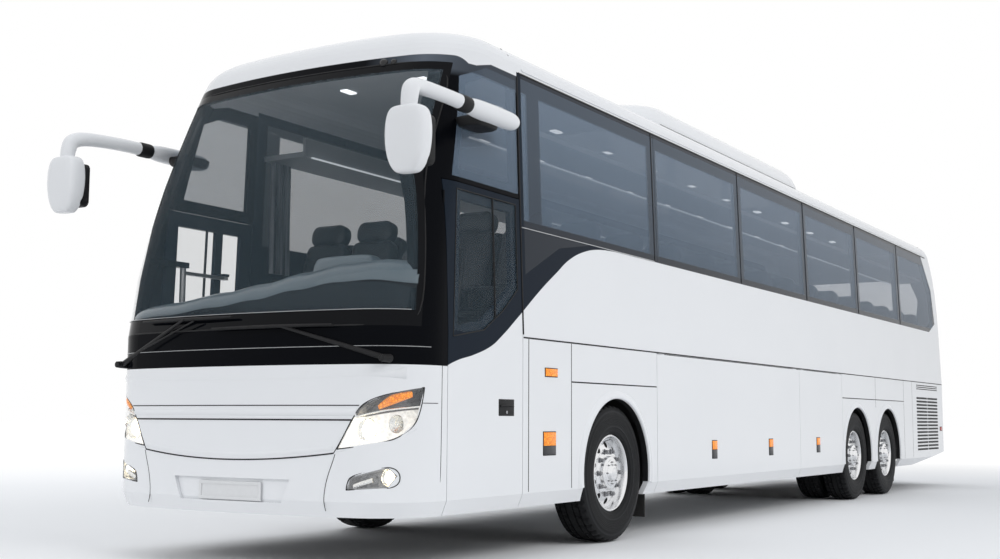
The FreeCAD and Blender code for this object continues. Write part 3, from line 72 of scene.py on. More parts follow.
class Socket:
    """A value inside a material; Python's operators on it add Math nodes."""

    def __init__(self, tree, link):
        self.tree, self.link = tree, link

    def node(self, kind, settings, values, output=0):
        made = self.tree.nodes.new("ShaderNode" + kind)
        for key, value in settings.items():
            if key == "stops":
                ramp = made.color_ramp.elements
                for _ in value[2:]:
                    ramp.new(0.5)
                for element, (spot, tone) in zip(ramp, value):
                    element.position, element.color = spot, tone
            elif key == "curve":
                points = made.mapping.curves[0].points
                points[0].location, points[1].location = value[0], value[-1]
                for spot in value[1:-1]:
                    points.new(*spot)
                made.mapping.update()
            else:
                setattr(made, key, value)
        for key, value in values.items():
            if isinstance(value, Socket):
                self.tree.links.new(value.link, made.inputs[key])
            else:
                made.inputs[key].default_value = value
        return Socket(self.tree, made.outputs[output])

    def maths(self, operation, *others, clamp=False):
        return self.node("Math", {"operation": operation, "use_clamp": clamp},
                         dict(enumerate((self, *others))))

    def __add__(self, other):
        return self.maths("ADD", other)

    def __mul__(self, other):
        return self.maths("MULTIPLY", other)

    __radd__, __rmul__ = __add__, __mul__

    def __sub__(self, other):
        return self.maths("SUBTRACT", other)

    def __rsub__(self, other):
        return self * -1 + other

    def __truediv__(self, other):
        return self.maths("DIVIDE", other)

    def over(self, limit, blur=0.003):
        """1 where this is above the limit, 0 below it."""
        return ((self - limit) / blur).maths("ADD", 0.5, clamp=True)

    def under(self, limit, blur=0.003):
        return 1 - self.over(limit, blur)

    def between(self, low, high, blur=0.003):
        return self.over(low, blur) * self.under(high, blur)

    def axis(self, number):
        return self.node("SeparateXYZ", {}, {0: self}, number)

    def noise(self, scale, detail=2.0, stretch=(1, 1, 1)):
        spread = self.node("Mapping", {}, {"Vector": self, "Scale": stretch})
        return spread.node("TexNoise", {}, {"Vector": spread, "Scale": scale, "Detail": detail})

    def paint(self, under, over):
        """Colour that goes from the first to the second as this goes from 0 to 1."""
        return self.node("Mix", {"data_type": "RGBA"}, {0: self, 6: under, 7: over}, 2)


def finish(name, **constants):
    """A new Principled material with its Object coordinates."""
    material = bpy.data.materials.new(name)
    material.use_nodes = True
    surface = material.node_tree.nodes["Principled BSDF"]
    for key, value in constants.items():
        surface.inputs[key.replace("_", " ")].default_value = value
    return material, Socket(material.node_tree, None).node("TexCoord", {}, {}, 3)


def drive(material, bump=None, **sockets):
    """Links values to the material's surface; bump is (height, distance in metres)."""
    surface = material.node_tree.nodes["Principled BSDF"]
    if bump:
        height, distance = bump
        sockets["Normal"] = height.node("Bump", {}, {"Distance": distance, "Height": height})
    for key, value in sockets.items():
        material.node_tree.links.new(value.link, surface.inputs[key.replace("_", " ")])
    return material


def give(material, *nodes):
    """The material goes on these CAD nodes."""
    for node in nodes:
        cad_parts[node].data.materials.clear()
        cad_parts[node].data.materials.append(material)


def enamel(name, dark=None, shade=BLACK, sheen=None):
    """White gloss paint, dark where the mask of the object's coordinates says; where a sheen mask is
    given, the dark takes a painted blue-grey highlight.
    """
    material, place = finish(name, Roughness=0.2, Specular_IOR_Level=0.03, Coat_Roughness=0.04)
    peel = place.noise(160.0)
    film = place.noise(1.3, 4.0)
    light = (film * 0.5 + 0.25).paint((0.80, 0.812, 0.83, 1), (0.86, 0.868, 0.88, 1))
    mask = dark(place) if dark else None
    # painted highlight: where the sheen mask says, the dark paint turns blue-grey, standing in for a
    # reflection
    if sheen:
        shade = sheen(place).paint(shade, (0.12, 0.14, 0.17, 1))
    colour = mask.paint(light, shade) if mask else light
    rough = film * 0.08 + 0.17
    lacquer = peel * 0.02 + 0.5
    return drive(material, bump=(peel, 0.00004), Base_Color=colour,
                 Coat_Weight=lacquer * (1 - mask) if mask else lacquer,
                 Roughness=rough - mask * 0.05 if mask else rough)


def window_field(place):
    """Black field of a side: above the sweeping line, round the row of windows."""
    y, z = place.axis(1) - AXLE, place.axis(2)
    run = ((y - SWOOSH_Y) / SWOOSH_RUN).maths("ADD", 0.0, clamp=True)
    line = run.node("FloatCurve", {"curve": SWOOSH}, {1: run}) * SWOOSH_RISE + SWOOSH_Z
    end = PANES_END - AXLE + 0.018
    low = (z - BAND_Z) * 2.7 + (end - 0.37)                        # cut back below and above
    high = end + 0.01 - (z - BAND_Z - 0.13) * 0.22
    top = end - 0.09 - (z - BAND_Z - 0.62) * 1.08
    field = z.over(line) * z.under(BAND_TOP)
    for edge in (low, high, top):
        field = field * y.under(edge)
    return field


SLATE = (0.013, 0.019, 0.029, 1)
side_enamel = enamel("side_enamel", window_field, SLATE)
give(side_enamel, "side_walls", "driver_door", "passenger_door")
plain_enamel = enamel("plain_enamel")
give(plain_enamel, "front_hood_panel", "front_grille_panel", "front_bumper", "rear_wall",
     "roof_panel", "roof_caps", "roof_edges",
     "air_conditioner", "engine_lid", "mirror_arms", "mirror_heads",
     *[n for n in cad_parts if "luggage_door" in n])
HEADER_Z, CORNER_FRONT, CORNER_BACK = 3.306, -6.07, -5.75


def screen_field(place):
    """Black of the windscreen's surround; its upper corners dip where they turn to the side."""
    fall = ((place.axis(1) - CORNER_FRONT) / 0.085).maths("ADD", 0.0, clamp=True)
    rise = ((CORNER_BACK - place.axis(1)) / 0.17).maths("ADD", 0.0, clamp=True)
    return (place.axis(2) + fall * fall * rise * 0.044).under(HEADER_Z, 0.004)


def header_painted_highlight(place):
    """Painted highlight: a paler stretch of the header towards the driver's side, standing in for a
    reflection.
    """
    near = 1 - (place.axis(0) - 0.98).maths("ABSOLUTE") / 0.42
    return near.maths("MAXIMUM", 0.0) * place.axis(2).over(3.18, 0.05)


# the header's paler stretch is a painted highlight
screen_enamel = enamel("screen_enamel", screen_field, sheen=header_painted_highlight)
give(screen_enamel, "windscreen_frame")

# ---------------------------------------------------------------- glass
# Bonded safety glass: nearly clear in front, dark tinted at the sides and the rear. Every pane
# has a fired black border that hides the adhesive.
EYE_RAKE = 0.35 / 0.8                     # lean of the windscreen pillar's upper half


def glass(name, low, high, alpha, ior, edge=None, shade=BLACK, sheen=0.12):
    """Pane whose colour goes from one tone at its foot to another at its head: its own tint under a
    painted reflection that lightens towards the head.
    """
    material, place = finish(name, IOR=ior, Alpha=alpha, Specular_IOR_Level=sheen)
    # painted reflection: the blue-grey film over the pane, lighter and mottled towards its head, stands
    # in for the surround reflected in the glass, over the glass's own tint
    rise = ((place.axis(2) - BAND_Z) / 1.1 + place.noise(1.7, 3.0) * 0.3).maths("ADD", 0.0,
                                                                                clamp=True)
    tint_and_reflection = rise.paint(low, high)
    if edge:
        border = edge(place)
        drive(material, Alpha=border * (1 - alpha) + alpha)
        tint_and_reflection = border.paint(tint_and_reflection, shade)
    return drive(material, Base_Color=tint_and_reflection, Roughness=place.noise(40.0) * 0.01 + 0.012)


def screen_border(place):
    """Fired border of the windscreen, along its foot, its head and both pillars."""
    low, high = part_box("windscreen")
    y, z = place.axis(1), place.axis(2)
    lower = (z - low.z) * (0.125 / 0.97) + (low.y + 0.325)
    upper = (z - 2.45) * EYE_RAKE + (low.y + 0.45)
    edge = lower.maths("MAXIMUM", upper) - 0.045
    foot = 1.583
    return y.over(edge).maths("MAXIMUM", z.under(foot)).maths("MAXIMUM", z.over(high.z - 0.06))


PANE_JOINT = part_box("driver_door")[1].y + 2.215    # first pane's rear edge
PANE_PITCH = (PANES_END - PANE_JOINT) / 5


def band_border(place):
    """Fired border along the foot and head of the side panes, half as dense along the frames."""
    y, z = place.axis(1), place.axis(2)
    turn = ((y - PANE_JOINT) / PANE_PITCH + 9.0).maths("FRACT")
    near = turn.maths("MINIMUM", 1 - turn).under(0.045, 0.006)
    soft = near.maths("MAXIMUM", z.over(3.2, 0.01)) * 0.75
    return z.under(BAND_Z + 0.058, 0.008).maths("MAXIMUM", z.over(3.3)).maths("MAXIMUM", soft)


give(glass("clear_glass", (0.15, 0.21, 0.25, 1), (0.24, 0.31, 0.36, 1), 0.10, 1.45,
           screen_border), "windscreen")
give(glass("side_glass", (0.115, 0.165, 0.225, 1), (0.23, 0.30, 0.39, 1), 0.48, 1.5,
           band_border, SLATE, 0.12), "side_windows")
give(glass("door_glass", (0.13, 0.18, 0.22, 1), (0.24, 0.31, 0.36, 1), 0.10, 1.5),
     "driver_door_window", "passenger_door_window", "rear_window")
give(glass("lamp_glass", (0.86, 0.88, 0.90, 1), (0.92, 0.94, 0.95, 1), 0.06, 1.5),
     "front_lamp_lenses")

# ---------------------------------------------------------------- tyres
# Steel-belted 22.5-inch tyres: moulded black rubber with ribs and shoulder blocks, fitted in
# pairs on the drive axle.
TYRE_R = (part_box("front_left_tyre")[1].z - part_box("front_left_tyre")[0].z) / 2
TRACK_X = 1.105                                     # middle of each outer tyre
TWIN_STEP = 0.335                                   # outer to inner tyre of a pair
AXLES = {"front": AXLE, "drive": AXLE + 6.5, "tag": AXLE + 7.88}
TREAD_STEPS = 132
SIDEWALL = ((0.0, 0.2815), (0.096, 0.2815), (0.104, 0.291), (0.122, 0.298), (0.131, 0.314),
            (0.1345, 0.317), (0.1365, 0.331), (0.1405, 0.349), (0.1425, 0.350), (0.143, 0.354),
            (0.1425, 0.372), (0.145, 0.400), (0.1445, 0.420), (0.1425, 0.440), (0.1432, 0.442),
            (0.1425, 0.446), (0.1385, 0.464), (0.1335, 0.482), (0.130, 0.490))
TREAD = ((0.127, 0.502), (0.119, 0.511), (0.103, 0.5145), (0.083, 0.5168), (0.081, 0.505),
         (0.073, 0.505), (0.071, 0.5178), (0.036, 0.520), (0.034, 0.507), (0.026, 0.507),
         (0.024, 0.521), (0.0, TYRE_R))


def deselect():
    if bpy.context.object and bpy.context.object.mode == "EDIT":
        bpy.ops.object.mode_set(mode="OBJECT")
    bpy.ops.object.select_all(action="DESELECT")
    bpy.context.tool_settings.mesh_select_mode = (True, False, False)


def settle(name, smooth=35):
    """The active object becomes a finished piece at the origin."""
    piece = bpy.context.object
    if piece.mode == "EDIT":
        bpy.ops.object.mode_set(mode="OBJECT")
    bpy.ops.object.transform_apply(location=True, rotation=True, scale=True)
    bpy.ops.object.shade_smooth_by_angle(angle=math.radians(smooth))
    piece.name = name
    return piece


def lathe(name, profile, steps, smooth=35, closed=True):
    """Piece turned round the X axis from a profile of (x, radius)."""
    deselect()
    points = [Vector((x, 0, r)) for x, r in profile]
    bpy.ops.mesh.primitive_plane_add(size=0.001, location=points[0])
    bpy.ops.object.mode_set(mode="EDIT")
    bpy.ops.mesh.merge(type="CENTER")
    for a, b in zip(points, points[1:]):
        bpy.ops.mesh.extrude_region_move(TRANSFORM_OT_translate={"value": b - a})
    bpy.ops.mesh.select_all(action="SELECT")
    if closed:
        bpy.ops.mesh.remove_doubles(threshold=1e-5)
    bpy.ops.mesh.spin(steps=steps, angle=math.tau, center=(0, 0, 0), axis=(1, 0, 0))
    bpy.ops.mesh.select_all(action="SELECT")
    bpy.ops.mesh.remove_doubles(threshold=2e-5)
    bpy.ops.mesh.normals_make_consistent(inside=False)
    return settle(name, smooth)


def copied(piece, name, move=(0, 0, 0), mirror=False, turn=None):
    """The same piece again with its own mesh, moved, mirrored across the vehicle or turned."""
    other = piece.copy()
    other.data = piece.data.copy()
    bpy.context.collection.objects.link(other)
    other.name = name
    if turn:
        other.data.transform(turn)
    if mirror:
        other.data.transform(Matrix.Scale(-1, 4, (1, 0, 0)))
        other.data.flip_normals()
    other.data.transform(Matrix.Translation(move))
    return other


def joined(name, pieces):
    deselect()
    for piece in pieces:
        piece.select_set(True)
    bpy.context.view_layer.objects.active = pieces[0]
    if len(pieces) > 1:
        bpy.ops.object.join()
    pieces[0].name = name
    return pieces[0]


def dress(piece, material, body, slot, *nodes):
    """Material, body and the CAD nodes that a piece stands for; the slot is not used."""
    if material:
        piece.data.materials.clear()
        piece.data.materials.append(material)
    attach(piece, body)
    if nodes:
        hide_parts(*nodes)
    return piece


def wheel_radius(place):
    """Distance of a point of any wheel from its own axle."""
    y, drop = place.axis(1), place.axis(2) - TYRE_R
    spans = [((y - axle) * (y - axle) + drop * drop).maths("SQRT") for axle in AXLES.values()]
    return spans[0].maths("MINIMUM", spans[1]).maths("MINIMUM", spans[2])


rubber, place = finish("tyre_rubber", Specular_IOR_Level=0.14)
dust, radius = place.noise(9.0, 5.0), wheel_radius(place)
ribs = (radius * 520.0).maths("SINE") * radius.between(0.372, 0.428) + place.noise(420.0) * 0.3
# painted highlight: two lighter rings on the sidewall, by the rim and at the shoulder, where light
# catches the rubber
highlight_rings = radius.between(0.350, 0.358) + radius.between(0.462, 0.476)
drive(rubber, bump=(ribs, 0.0012), Roughness=dust * 0.2 + 0.5,
      Base_Color=(dust * 0.6 + highlight_rings * 0.7).paint((0.0065, 0.0068, 0.0075, 1),
                                                     (0.026, 0.027, 0.029, 1)))

outline = SIDEWALL + TREAD
tyre = lathe("tyre_master", outline + tuple((-x, r) for x, r in outline[-2::-1]), TREAD_STEPS, 30)
bpy.context.view_layer.objects.active = tyre
tyre.select_set(True)
bpy.ops.object.mode_set(mode="EDIT")
bpy.ops.mesh.select_all(action="DESELECT")
bpy.ops.mesh.select_mode(type="FACE")
bpy.ops.object.mode_set(mode="OBJECT")
for face in tyre.data.polygons:                     # cross grooves of the shoulders and ribs
    middle, radius = face.center, math.hypot(face.center.y, face.center.z)
    step = round(math.atan2(middle.y, middle.z) / math.tau * TREAD_STEPS - 0.5) % TREAD_STEPS
    shoulder = 0.085 < abs(middle.x) < 0.128 and radius > 0.5
    rib = 0.037 < abs(middle.x) < 0.07 and radius > 0.512
    face.select = shoulder and step % 3 == 0 or rib and step % 4 == 1
bpy.ops.object.mode_set(mode="EDIT")
bpy.ops.mesh.extrude_region_shrink_fatten(TRANSFORM_OT_shrink_fatten={"value": -0.008})
bpy.ops.object.mode_set(mode="OBJECT")
for side, sign in (("left", 1), ("right", -1)):
    for axle, y in AXLES.items():
        at = (sign * TRACK_X, y, TYRE_R)
        pair = [copied(tyre, "tyre", at)]
        if axle == "drive":
            pair.append(copied(tyre, "tyre", (at[0] - sign * TWIN_STEP, y, TYRE_R)))
        dress(joined(f"{axle}_{side}_rubber", pair), rubber, f"{axle}_{side}_wheel",
              "tyre_rubber", f"{axle}_{side}_tyre")
bpy.data.objects.remove(tyre)

# ---------------------------------------------------------------- wheels
# Forged and polished aluminium discs with ten hand holes, ten chromed nuts and a turned hub
# cap; behind each front and tag wheel lies a cast brake drum.
FACE = ((0.1215, 0.284), (0.119, 0.2775), (0.100, 0.266), (0.060, 0.2625), (0.047, 0.2585),
        (0.050, 0.247), (0.060, 0.2365), (0.073, 0.2135), (0.083, 0.185), (0.0875, 0.1865),
        (0.0895, 0.183), (0.0895, 0.149), (0.0905, 0.1465))
HUB = ((0.0905, 0.128), (0.112, 0.1255), (0.1175, 0.122), (0.1195, 0.115), (0.1205, 0.100),
       (0.1235, 0.0985), (0.1255, 0.094), (0.1265, 0.070), (0.1295, 0.067), (0.1335, 0.064),
       (0.1445, 0.058), (0.1485, 0.051), (0.150, 0.040), (0.148, 0.0385), (0.148, 0.030),
       (0.1505, 0.0285), (0.152, 0.0))
BACK = ((0.040, 0.0), (0.040, 0.112), (0.052, 0.150), (0.040, 0.212), (0.012, 0.254),
        (-0.098, 0.262), (-0.118, 0.275), (-0.1215, 0.284), (-0.1185, 0.2905), (-0.107, 0.2885),
        (-0.098, 0.280), (0.098, 0.280), (0.107, 0.2885), (0.1185, 0.2905), (0.1215, 0.284))
TWIN = ((-0.12, 0.29), (-0.12, 0.276), (-0.098, 0.264), (0.060, 0.256), (0.09, 0.2),
        (0.1, 0.112), (-0.09, 0.112), (-0.09, 0.05), (0.236, 0.05), (0.236, 0.112),
        (0.128, 0.112), (0.118, 0.214), (0.092, 0.264), (0.11, 0.276), (0.12, 0.29),
        (0.106, 0.29), (0.098, 0.28), (-0.098, 0.28), (-0.106, 0.29), (-0.12, 0.29))
DRUM = ((-0.125, 0.118), (-0.125, 0.222), (-0.115, 0.232), (-0.020, 0.232), (-0.006, 0.222),
        (0.020, 0.160), (0.020, 0.118), (-0.125, 0.118))
NUTS, NUT_RING, HOLE_RING = 10, 0.1675, 0.2145

alloy, place = finish("polished_alloy", Metallic=1.0)
turned = (wheel_radius(place) * 1500.0).maths("SINE") * 0.5 + 0.5
drive(alloy, bump=(turned, 0.00001), Roughness=turned * 0.05 + 0.19,
      Base_Color=place.noise(14.0).paint((0.80, 0.805, 0.815, 1), (0.86, 0.865, 0.875, 1)))
chrome, place = finish("nut_chrome", Metallic=1.0)
drive(chrome, Roughness=place.noise(200.0) * 0.1 + 0.12,
      Base_Color=place.noise(60.0).paint((0.20, 0.205, 0.215, 1), (0.44, 0.445, 0.46, 1)))
cast_iron, place = finish("cast_iron", Metallic=0.6)
rust = place.noise(30.0, 6.0)
drive(cast_iron, bump=(place.noise(300.0), 0.0005), Roughness=rust * 0.3 + 0.5,
      Base_Color=rust.paint((0.045, 0.04, 0.037, 1), (0.12, 0.085, 0.065, 1)))

disc = lathe("disc", FACE + HUB + BACK, 120, 28)
deselect()
cutters = []
for number in range(NUTS):
    turn = math.tau * number / NUTS
    bpy.ops.mesh.primitive_cylinder_add(
        vertices=28, radius=0.0245, depth=0.2, rotation=(0, math.pi / 2, 0),
        location=(0.06, HOLE_RING * math.sin(turn), HOLE_RING * math.cos(turn)))
    cutters.append(settle("cutter"))
holes = joined("cutter", cutters)
deselect()
bpy.context.view_layer.objects.active = disc
disc.select_set(True)
drill = disc.modifiers.new("holes", "BOOLEAN")
drill.object, drill.solver = holes, "EXACT"
bpy.ops.object.modifier_apply(modifier=drill.name)
bpy.data.objects.remove(holes)
bpy.ops.object.shade_smooth_by_angle(angle=math.radians(28))


def nut(radius, height, washer):
    """Hexagon nut with a pressed washer and a domed end, along X from the origin."""
    deselect()
    bpy.ops.mesh.primitive_cylinder_add(vertices=6, radius=radius, depth=height,
                                        rotation=(0, math.pi / 2, 0),
                                        location=(height / 2 + washer, 0, 0))
    bpy.ops.object.mode_set(mode="EDIT")
    bpy.ops.mesh.bevel(offset=radius * 0.09, segments=2, affect="EDGES")
    head = settle("nut")
    collar = lathe("collar", ((0, 0), (0, radius * 1.35), (washer, radius * 1.25),
                              (washer, 0)), 24, closed=False)
    dome = lathe("dome", ((height, radius * 0.7), (height + washer + 0.004, radius * 0.66),
                          (height + washer + 0.008, radius * 0.4),
                          (height + washer + 0.010, 0)), 18, closed=False)
    return joined("nut", [head, collar, dome])


def ring_of(piece, count, radius, x):
    """Copies of a piece set round the X axis, joined."""
    copies = []
    for number in range(count):
        turn = Matrix.Rotation(math.tau * number / count, 4, "X")
        copies.append(copied(piece, "copy", turn=turn @ Matrix.Translation((x, 0, radius))))
    bpy.data.objects.remove(piece)
    return joined("ring", copies)


nuts = ring_of(nut(0.0165, 0.024, 0.006), NUTS, NUT_RING, 0.089)
nuts.data.transform(Matrix.Rotation(math.pi / NUTS, 4, "X"))
bolts = ring_of(nut(0.0055, 0.006, 0.0015), 8, 0.082, 0.126)
deselect()
bpy.ops.mesh.primitive_cylinder_add(vertices=12, radius=0.004, depth=0.07,
                                    rotation=(0, math.radians(72), 0),
                                    location=(0.075, 0.02, 0.245))
bpy.ops.object.mode_set(mode="EDIT")
bpy.ops.mesh.bevel(offset=0.001, segments=1, affect="EDGES")
bright = joined("bright", [nuts, bolts, settle("valve")])
bright.data.materials.append(chrome)
drum = lathe("drum", DRUM, 64, 30)
twin = lathe("twin", TWIN, 72, 30)
disc.data.materials.append(alloy)
twin.data.materials.append(alloy)
drum.data.materials.append(cast_iron)
for side, sign in (("left", 1), ("right", -1)):
    for axle, y in AXLES.items():
        at, wheel = (sign * TRACK_X, y, TYRE_R), f"{axle}_{side}_wheel"
        parts = [copied(disc, "disc", at, mirror=sign < 0)]
        if axle == "drive":
            inner = (at[0] - sign * TWIN_STEP, y, TYRE_R)
            parts.append(copied(twin, "twin", inner, mirror=sign < 0))
        nodes = [wheel] + ([f"drive_{side}_inner_wheel"] if axle == "drive" else [])
        dress(joined(f"{wheel}_disc", parts), None, wheel, "wheel_alloy", *nodes)
        dress(copied(bright, f"{wheel}_nuts", at, mirror=sign < 0), None, wheel, "wheel_alloy")
        if axle != "drive":
            dress(copied(drum, f"{wheel}_drum", at, mirror=sign < 0), None, wheel,
                  "wheel_alloy")
for piece in (disc, bright, drum, twin):
    bpy.data.objects.remove(piece)

# ---------------------------------------------------------------- under the floor
# Welded steel frame, axles and housings in black chassis paint, with road dust on them; the
# engine and the knuckles are castings.
chassis_paint, place = finish("chassis_paint", Metallic=0.1)
dust = place.noise(7.0, 6.0)
drive(chassis_paint, bump=(place.noise(90.0, 4.0), 0.0006), Roughness=dust * 0.35 + 0.42,
      Base_Color=dust.paint((0.018, 0.018, 0.02, 1), (0.075, 0.07, 0.064, 1)))
give(chassis_paint, "subframes", "towing_eye", "axles")
give(cast_iron, "engine", "left_knuckle", "right_knuckle")
housing_plastic, place = finish("housing_plastic", Metallic=0.0)
dust = place.noise(5.0, 5.0)
drive(housing_plastic, bump=(place.noise(240.0), 0.0005), Roughness=dust * 0.2 + 0.65,
      Base_Color=dust.paint((0.008, 0.008, 0.009, 1), (0.03, 0.029, 0.028, 1)))
give(housing_plastic, "wheel_housings")
bay_plate, place = finish("bay_plate", Metallic=0.85)
studs = place.node("TexVoronoi", {"feature": "DISTANCE_TO_EDGE"}, {"Vector": place, "Scale": 30})
drive(bay_plate, bump=(studs, 0.001), Roughness=place.noise(20.0, 4.0) * 0.25 + 0.35,
      Base_Color=place.noise(6.0, 4.0).paint((0.30, 0.305, 0.31, 1), (0.42, 0.425, 0.43, 1)))
give(bay_plate, "luggage_bay")
brushed_steel, place = finish("brushed_steel", Metallic=0.9)
brush = place.noise(80.0, 3.0, (1, 1, 12))
drive(brushed_steel, Roughness=brush * 0.25 + 0.3,
      Base_Color=brush.paint((0.34, 0.345, 0.35, 1), (0.52, 0.525, 0.53, 1)))
give(brushed_steel, "passenger_door_arm")

# ---------------------------------------------------------------- shock absorbers
# Telescopic dampers beside each air spring: a painted steel tube with a thinner rod in it,
# bolted between the axle and the frame.


def rod(name, start, end, radius, vertices=20, bevel=0.0):
    """Round bar between two points, its end edges rounded when a bevel is given."""
    deselect()
    start, end = Vector(start), Vector(end)
    bpy.ops.mesh.primitive_cylinder_add(vertices=vertices, radius=radius,
                                        depth=(end - start).length,
                                        location=(start + end) / 2,
                                        rotation=(end - start).to_track_quat("Z", "Y").to_euler())
    if bevel:
        bpy.ops.object.mode_set(mode="EDIT")
        bpy.ops.mesh.select_mode(type="EDGE")
        bpy.ops.mesh.select_all(action="SELECT")
        bpy.ops.mesh.bevel(offset=bevel, segments=3, affect="EDGES", clamp_overlap=True)
    return settle(name)


dampers = []
for axle, y in AXLES.items():
    foot, head = TYRE_R - 0.02, TYRE_R + 0.30
    for x in (-0.52, 0.52):
        if axle == "front":
            foot, head = TYRE_R - 0.05, TYRE_R + 0.16
        lean = 0.16
        dampers += [rod("damper", (x, y - lean, foot), (x, y - lean - 0.02, foot + 0.2), 0.035,
                        bevel=0.004),
                    rod("damper", (x, y - lean - 0.02, foot + 0.18), (x, y - lean - 0.03, head),
                        0.014)]
dress(joined("shock_absorbers", dampers), chassis_paint, "body", "chassis_paint")

# ---------------------------------------------------------------- cabin trim
# Ribbed vinyl on the floors and steps, moulded panels in light grey on the ceiling and round
# the racks, soft dark plastic on the dashboard.
DECK_Z, CAB_Z = 1.4, 0.9
DOOR_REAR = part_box("driver_door")[1].y + 0.006
REAR = cad_box[1][1]
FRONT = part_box("front_grille_panel")[0].y

vinyl, place = finish("floor_vinyl")
fleck = place.noise(700.0, 1.0)
drive(vinyl, bump=(place.axis(0).maths("MULTIPLY", 900).maths("SINE"), 0.0006),
      Roughness=fleck * 0.1 + 0.5,
      Base_Color=fleck.over(0.55, 0.05).paint((0.06, 0.062, 0.066, 1), (0.16, 0.162, 0.166, 1)))
give(vinyl, "passenger_deck", "deck_riser", "cab_floor", "entry_steps")
trim, place = finish("cabin_trim", Roughness=0.55)
drive(trim, bump=(place.noise(600.0), 0.0002),
      Base_Color=place.noise(3.0).paint((0.34, 0.345, 0.355, 1), (0.40, 0.405, 0.415, 1)))
give(trim, "luggage_racks")

# ---------------------------------------------------------------- headlights and fog lamps
# Clear polycarbonate over a dark bezel, with vacuum-plated dishes, a bulb in each and an amber
# indicator across the top outer corner. Everything stands in the closed bowl behind the lens.
HALF, BOW, CORNER = 1.275, 5.2, 0.42
MAIN_LAMP, SIDE_LAMP, FOG_LAMP = (0.985, 0.858, 0.066), (1.128, 0.893, 0.052), (1.098, 0.575, 0.047)
INDICATOR = ((1.05, 1.005), (1.10, 1.032), (1.15, 1.050), (1.20, 1.062))
LAMP_EDGE = ((0.811, 0.742), (0.812, 0.743), (0.93, 0.757), (1.07, 0.778), (1.165, 0.815), (1.222, 0.885),
             (1.240, 0.99), (1.248, 1.113), (1.247, 1.114), (1.17, 1.093), (1.097, 1.068), (1.03, 1.042),
             (0.971, 1.007), (0.935, 0.962), (0.87, 0.85))
FOG_EDGE = ((0.879, 0.502), (0.88, 0.503), (1.00, 0.507), (1.117, 0.512), (1.163, 0.535), (1.172, 0.588),
            (1.15, 0.632), (1.10, 0.641), (1.0, 0.612), (0.905, 0.582), (0.885, 0.545))
SHELF = ((0.935, 0.940), (1.03, 0.962), (1.13, 0.984), (1.239, 1.000))


def front_y(x, z):
    """The body's front face at this place."""
    rise = max(0.0, (z - 1.473) / 1.887)
    start = FRONT + 0.62 * rise ** 1.55
    middle = HALF - 0.065 * rise - CORNER
    if abs(x) < middle * BOW / (BOW - CORNER):
        return start + BOW - math.sqrt(BOW ** 2 - x ** 2)
    turn = start + BOW - math.sqrt((BOW - CORNER) ** 2 - middle ** 2)
    return turn - math.sqrt(max(CORNER ** 2 - (abs(x) - middle) ** 2, 0.0))


plated, place = finish("plated_dish", Metallic=1.0)
facets = place.node("TexVoronoi", {"feature": "F1"}, {"Vector": place, "Scale": 95})
drive(plated, bump=(facets, 0.002), Roughness=facets * 0.1 + 0.08,
      Base_Color=facets.paint((0.80, 0.80, 0.78, 1), (0.95, 0.94, 0.90, 1)))
bezel, place = finish("lamp_bezel", Metallic=0.35)
drive(bezel, bump=(place.noise(500.0), 0.0002), Roughness=place.noise(30.0) * 0.1 + 0.3,
      Base_Color=place.noise(20.0).paint((0.03, 0.03, 0.034, 1), (0.06, 0.06, 0.065, 1)))
# painted glow: below the smoked band the bowls emit a warm light, dim grey in the fog lamps' part,
# standing in for the bulbs' light on the plating
bowl_plating_and_glow, place = finish("lamp_bowl_plating_and_glow", Metallic=0.45, Emission_Strength=0.42)
flutes = place.node("TexVoronoi", {"feature": "F1"}, {"Vector": place, "Scale": 38})
across_lamp = place.axis(0).maths("ABSOLUTE")
smoked = (place.axis(2) - (across_lamp * 0.2 + 0.750)).over(0.0, 0.006)
fog = place.axis(2).under(0.68)
plating = flutes.paint((0.50, 0.505, 0.51, 1), (0.93, 0.93, 0.92, 1))
lit = fog.paint((1.0, 0.97, 0.90, 1), (0.10, 0.10, 0.10, 1))
drive(bowl_plating_and_glow, bump=(flutes, 0.006), Roughness=flutes * 0.15 + 0.12,
      Base_Color=smoked.paint(fog.paint(plating, (0.30, 0.305, 0.31, 1)), (0.13, 0.13, 0.135, 1)),
      Emission_Color=smoked.paint(lit, (0, 0, 0, 1)))
warm_bulb, place = finish("warm_bulb", Emission_Strength=3.5, Roughness=0.2)
drive(warm_bulb, Base_Color=place.noise(60.0).paint((1, 0.95, 0.8, 1), (1, 1, 0.95, 1)),
      Emission_Color=place.noise(60.0).paint((1.0, 0.80, 0.48, 1), (1.0, 0.93, 0.76, 1)))
# painted glow: the amber lens emits faintly, also on the side reflectors, which are no lamps
amber, place = finish("amber_lens", Roughness=0.12, Emission_Strength=0.45)
cells = place.node("TexVoronoi", {"feature": "DISTANCE_TO_EDGE"}, {"Vector": place, "Scale": 70})
glow = cells.maths("MULTIPLY", 3.0, clamp=True)
drive(amber, bump=(cells, 0.002), Base_Color=glow.paint((0.62, 0.14, 0.003, 1), (0.95, 0.34, 0.01, 1)),
      Emission_Color=glow.paint((0.6, 0.12, 0.0, 1), (1.0, 0.45, 0.03, 1)))
give(bowl_plating_and_glow, "front_lamp_bowls")


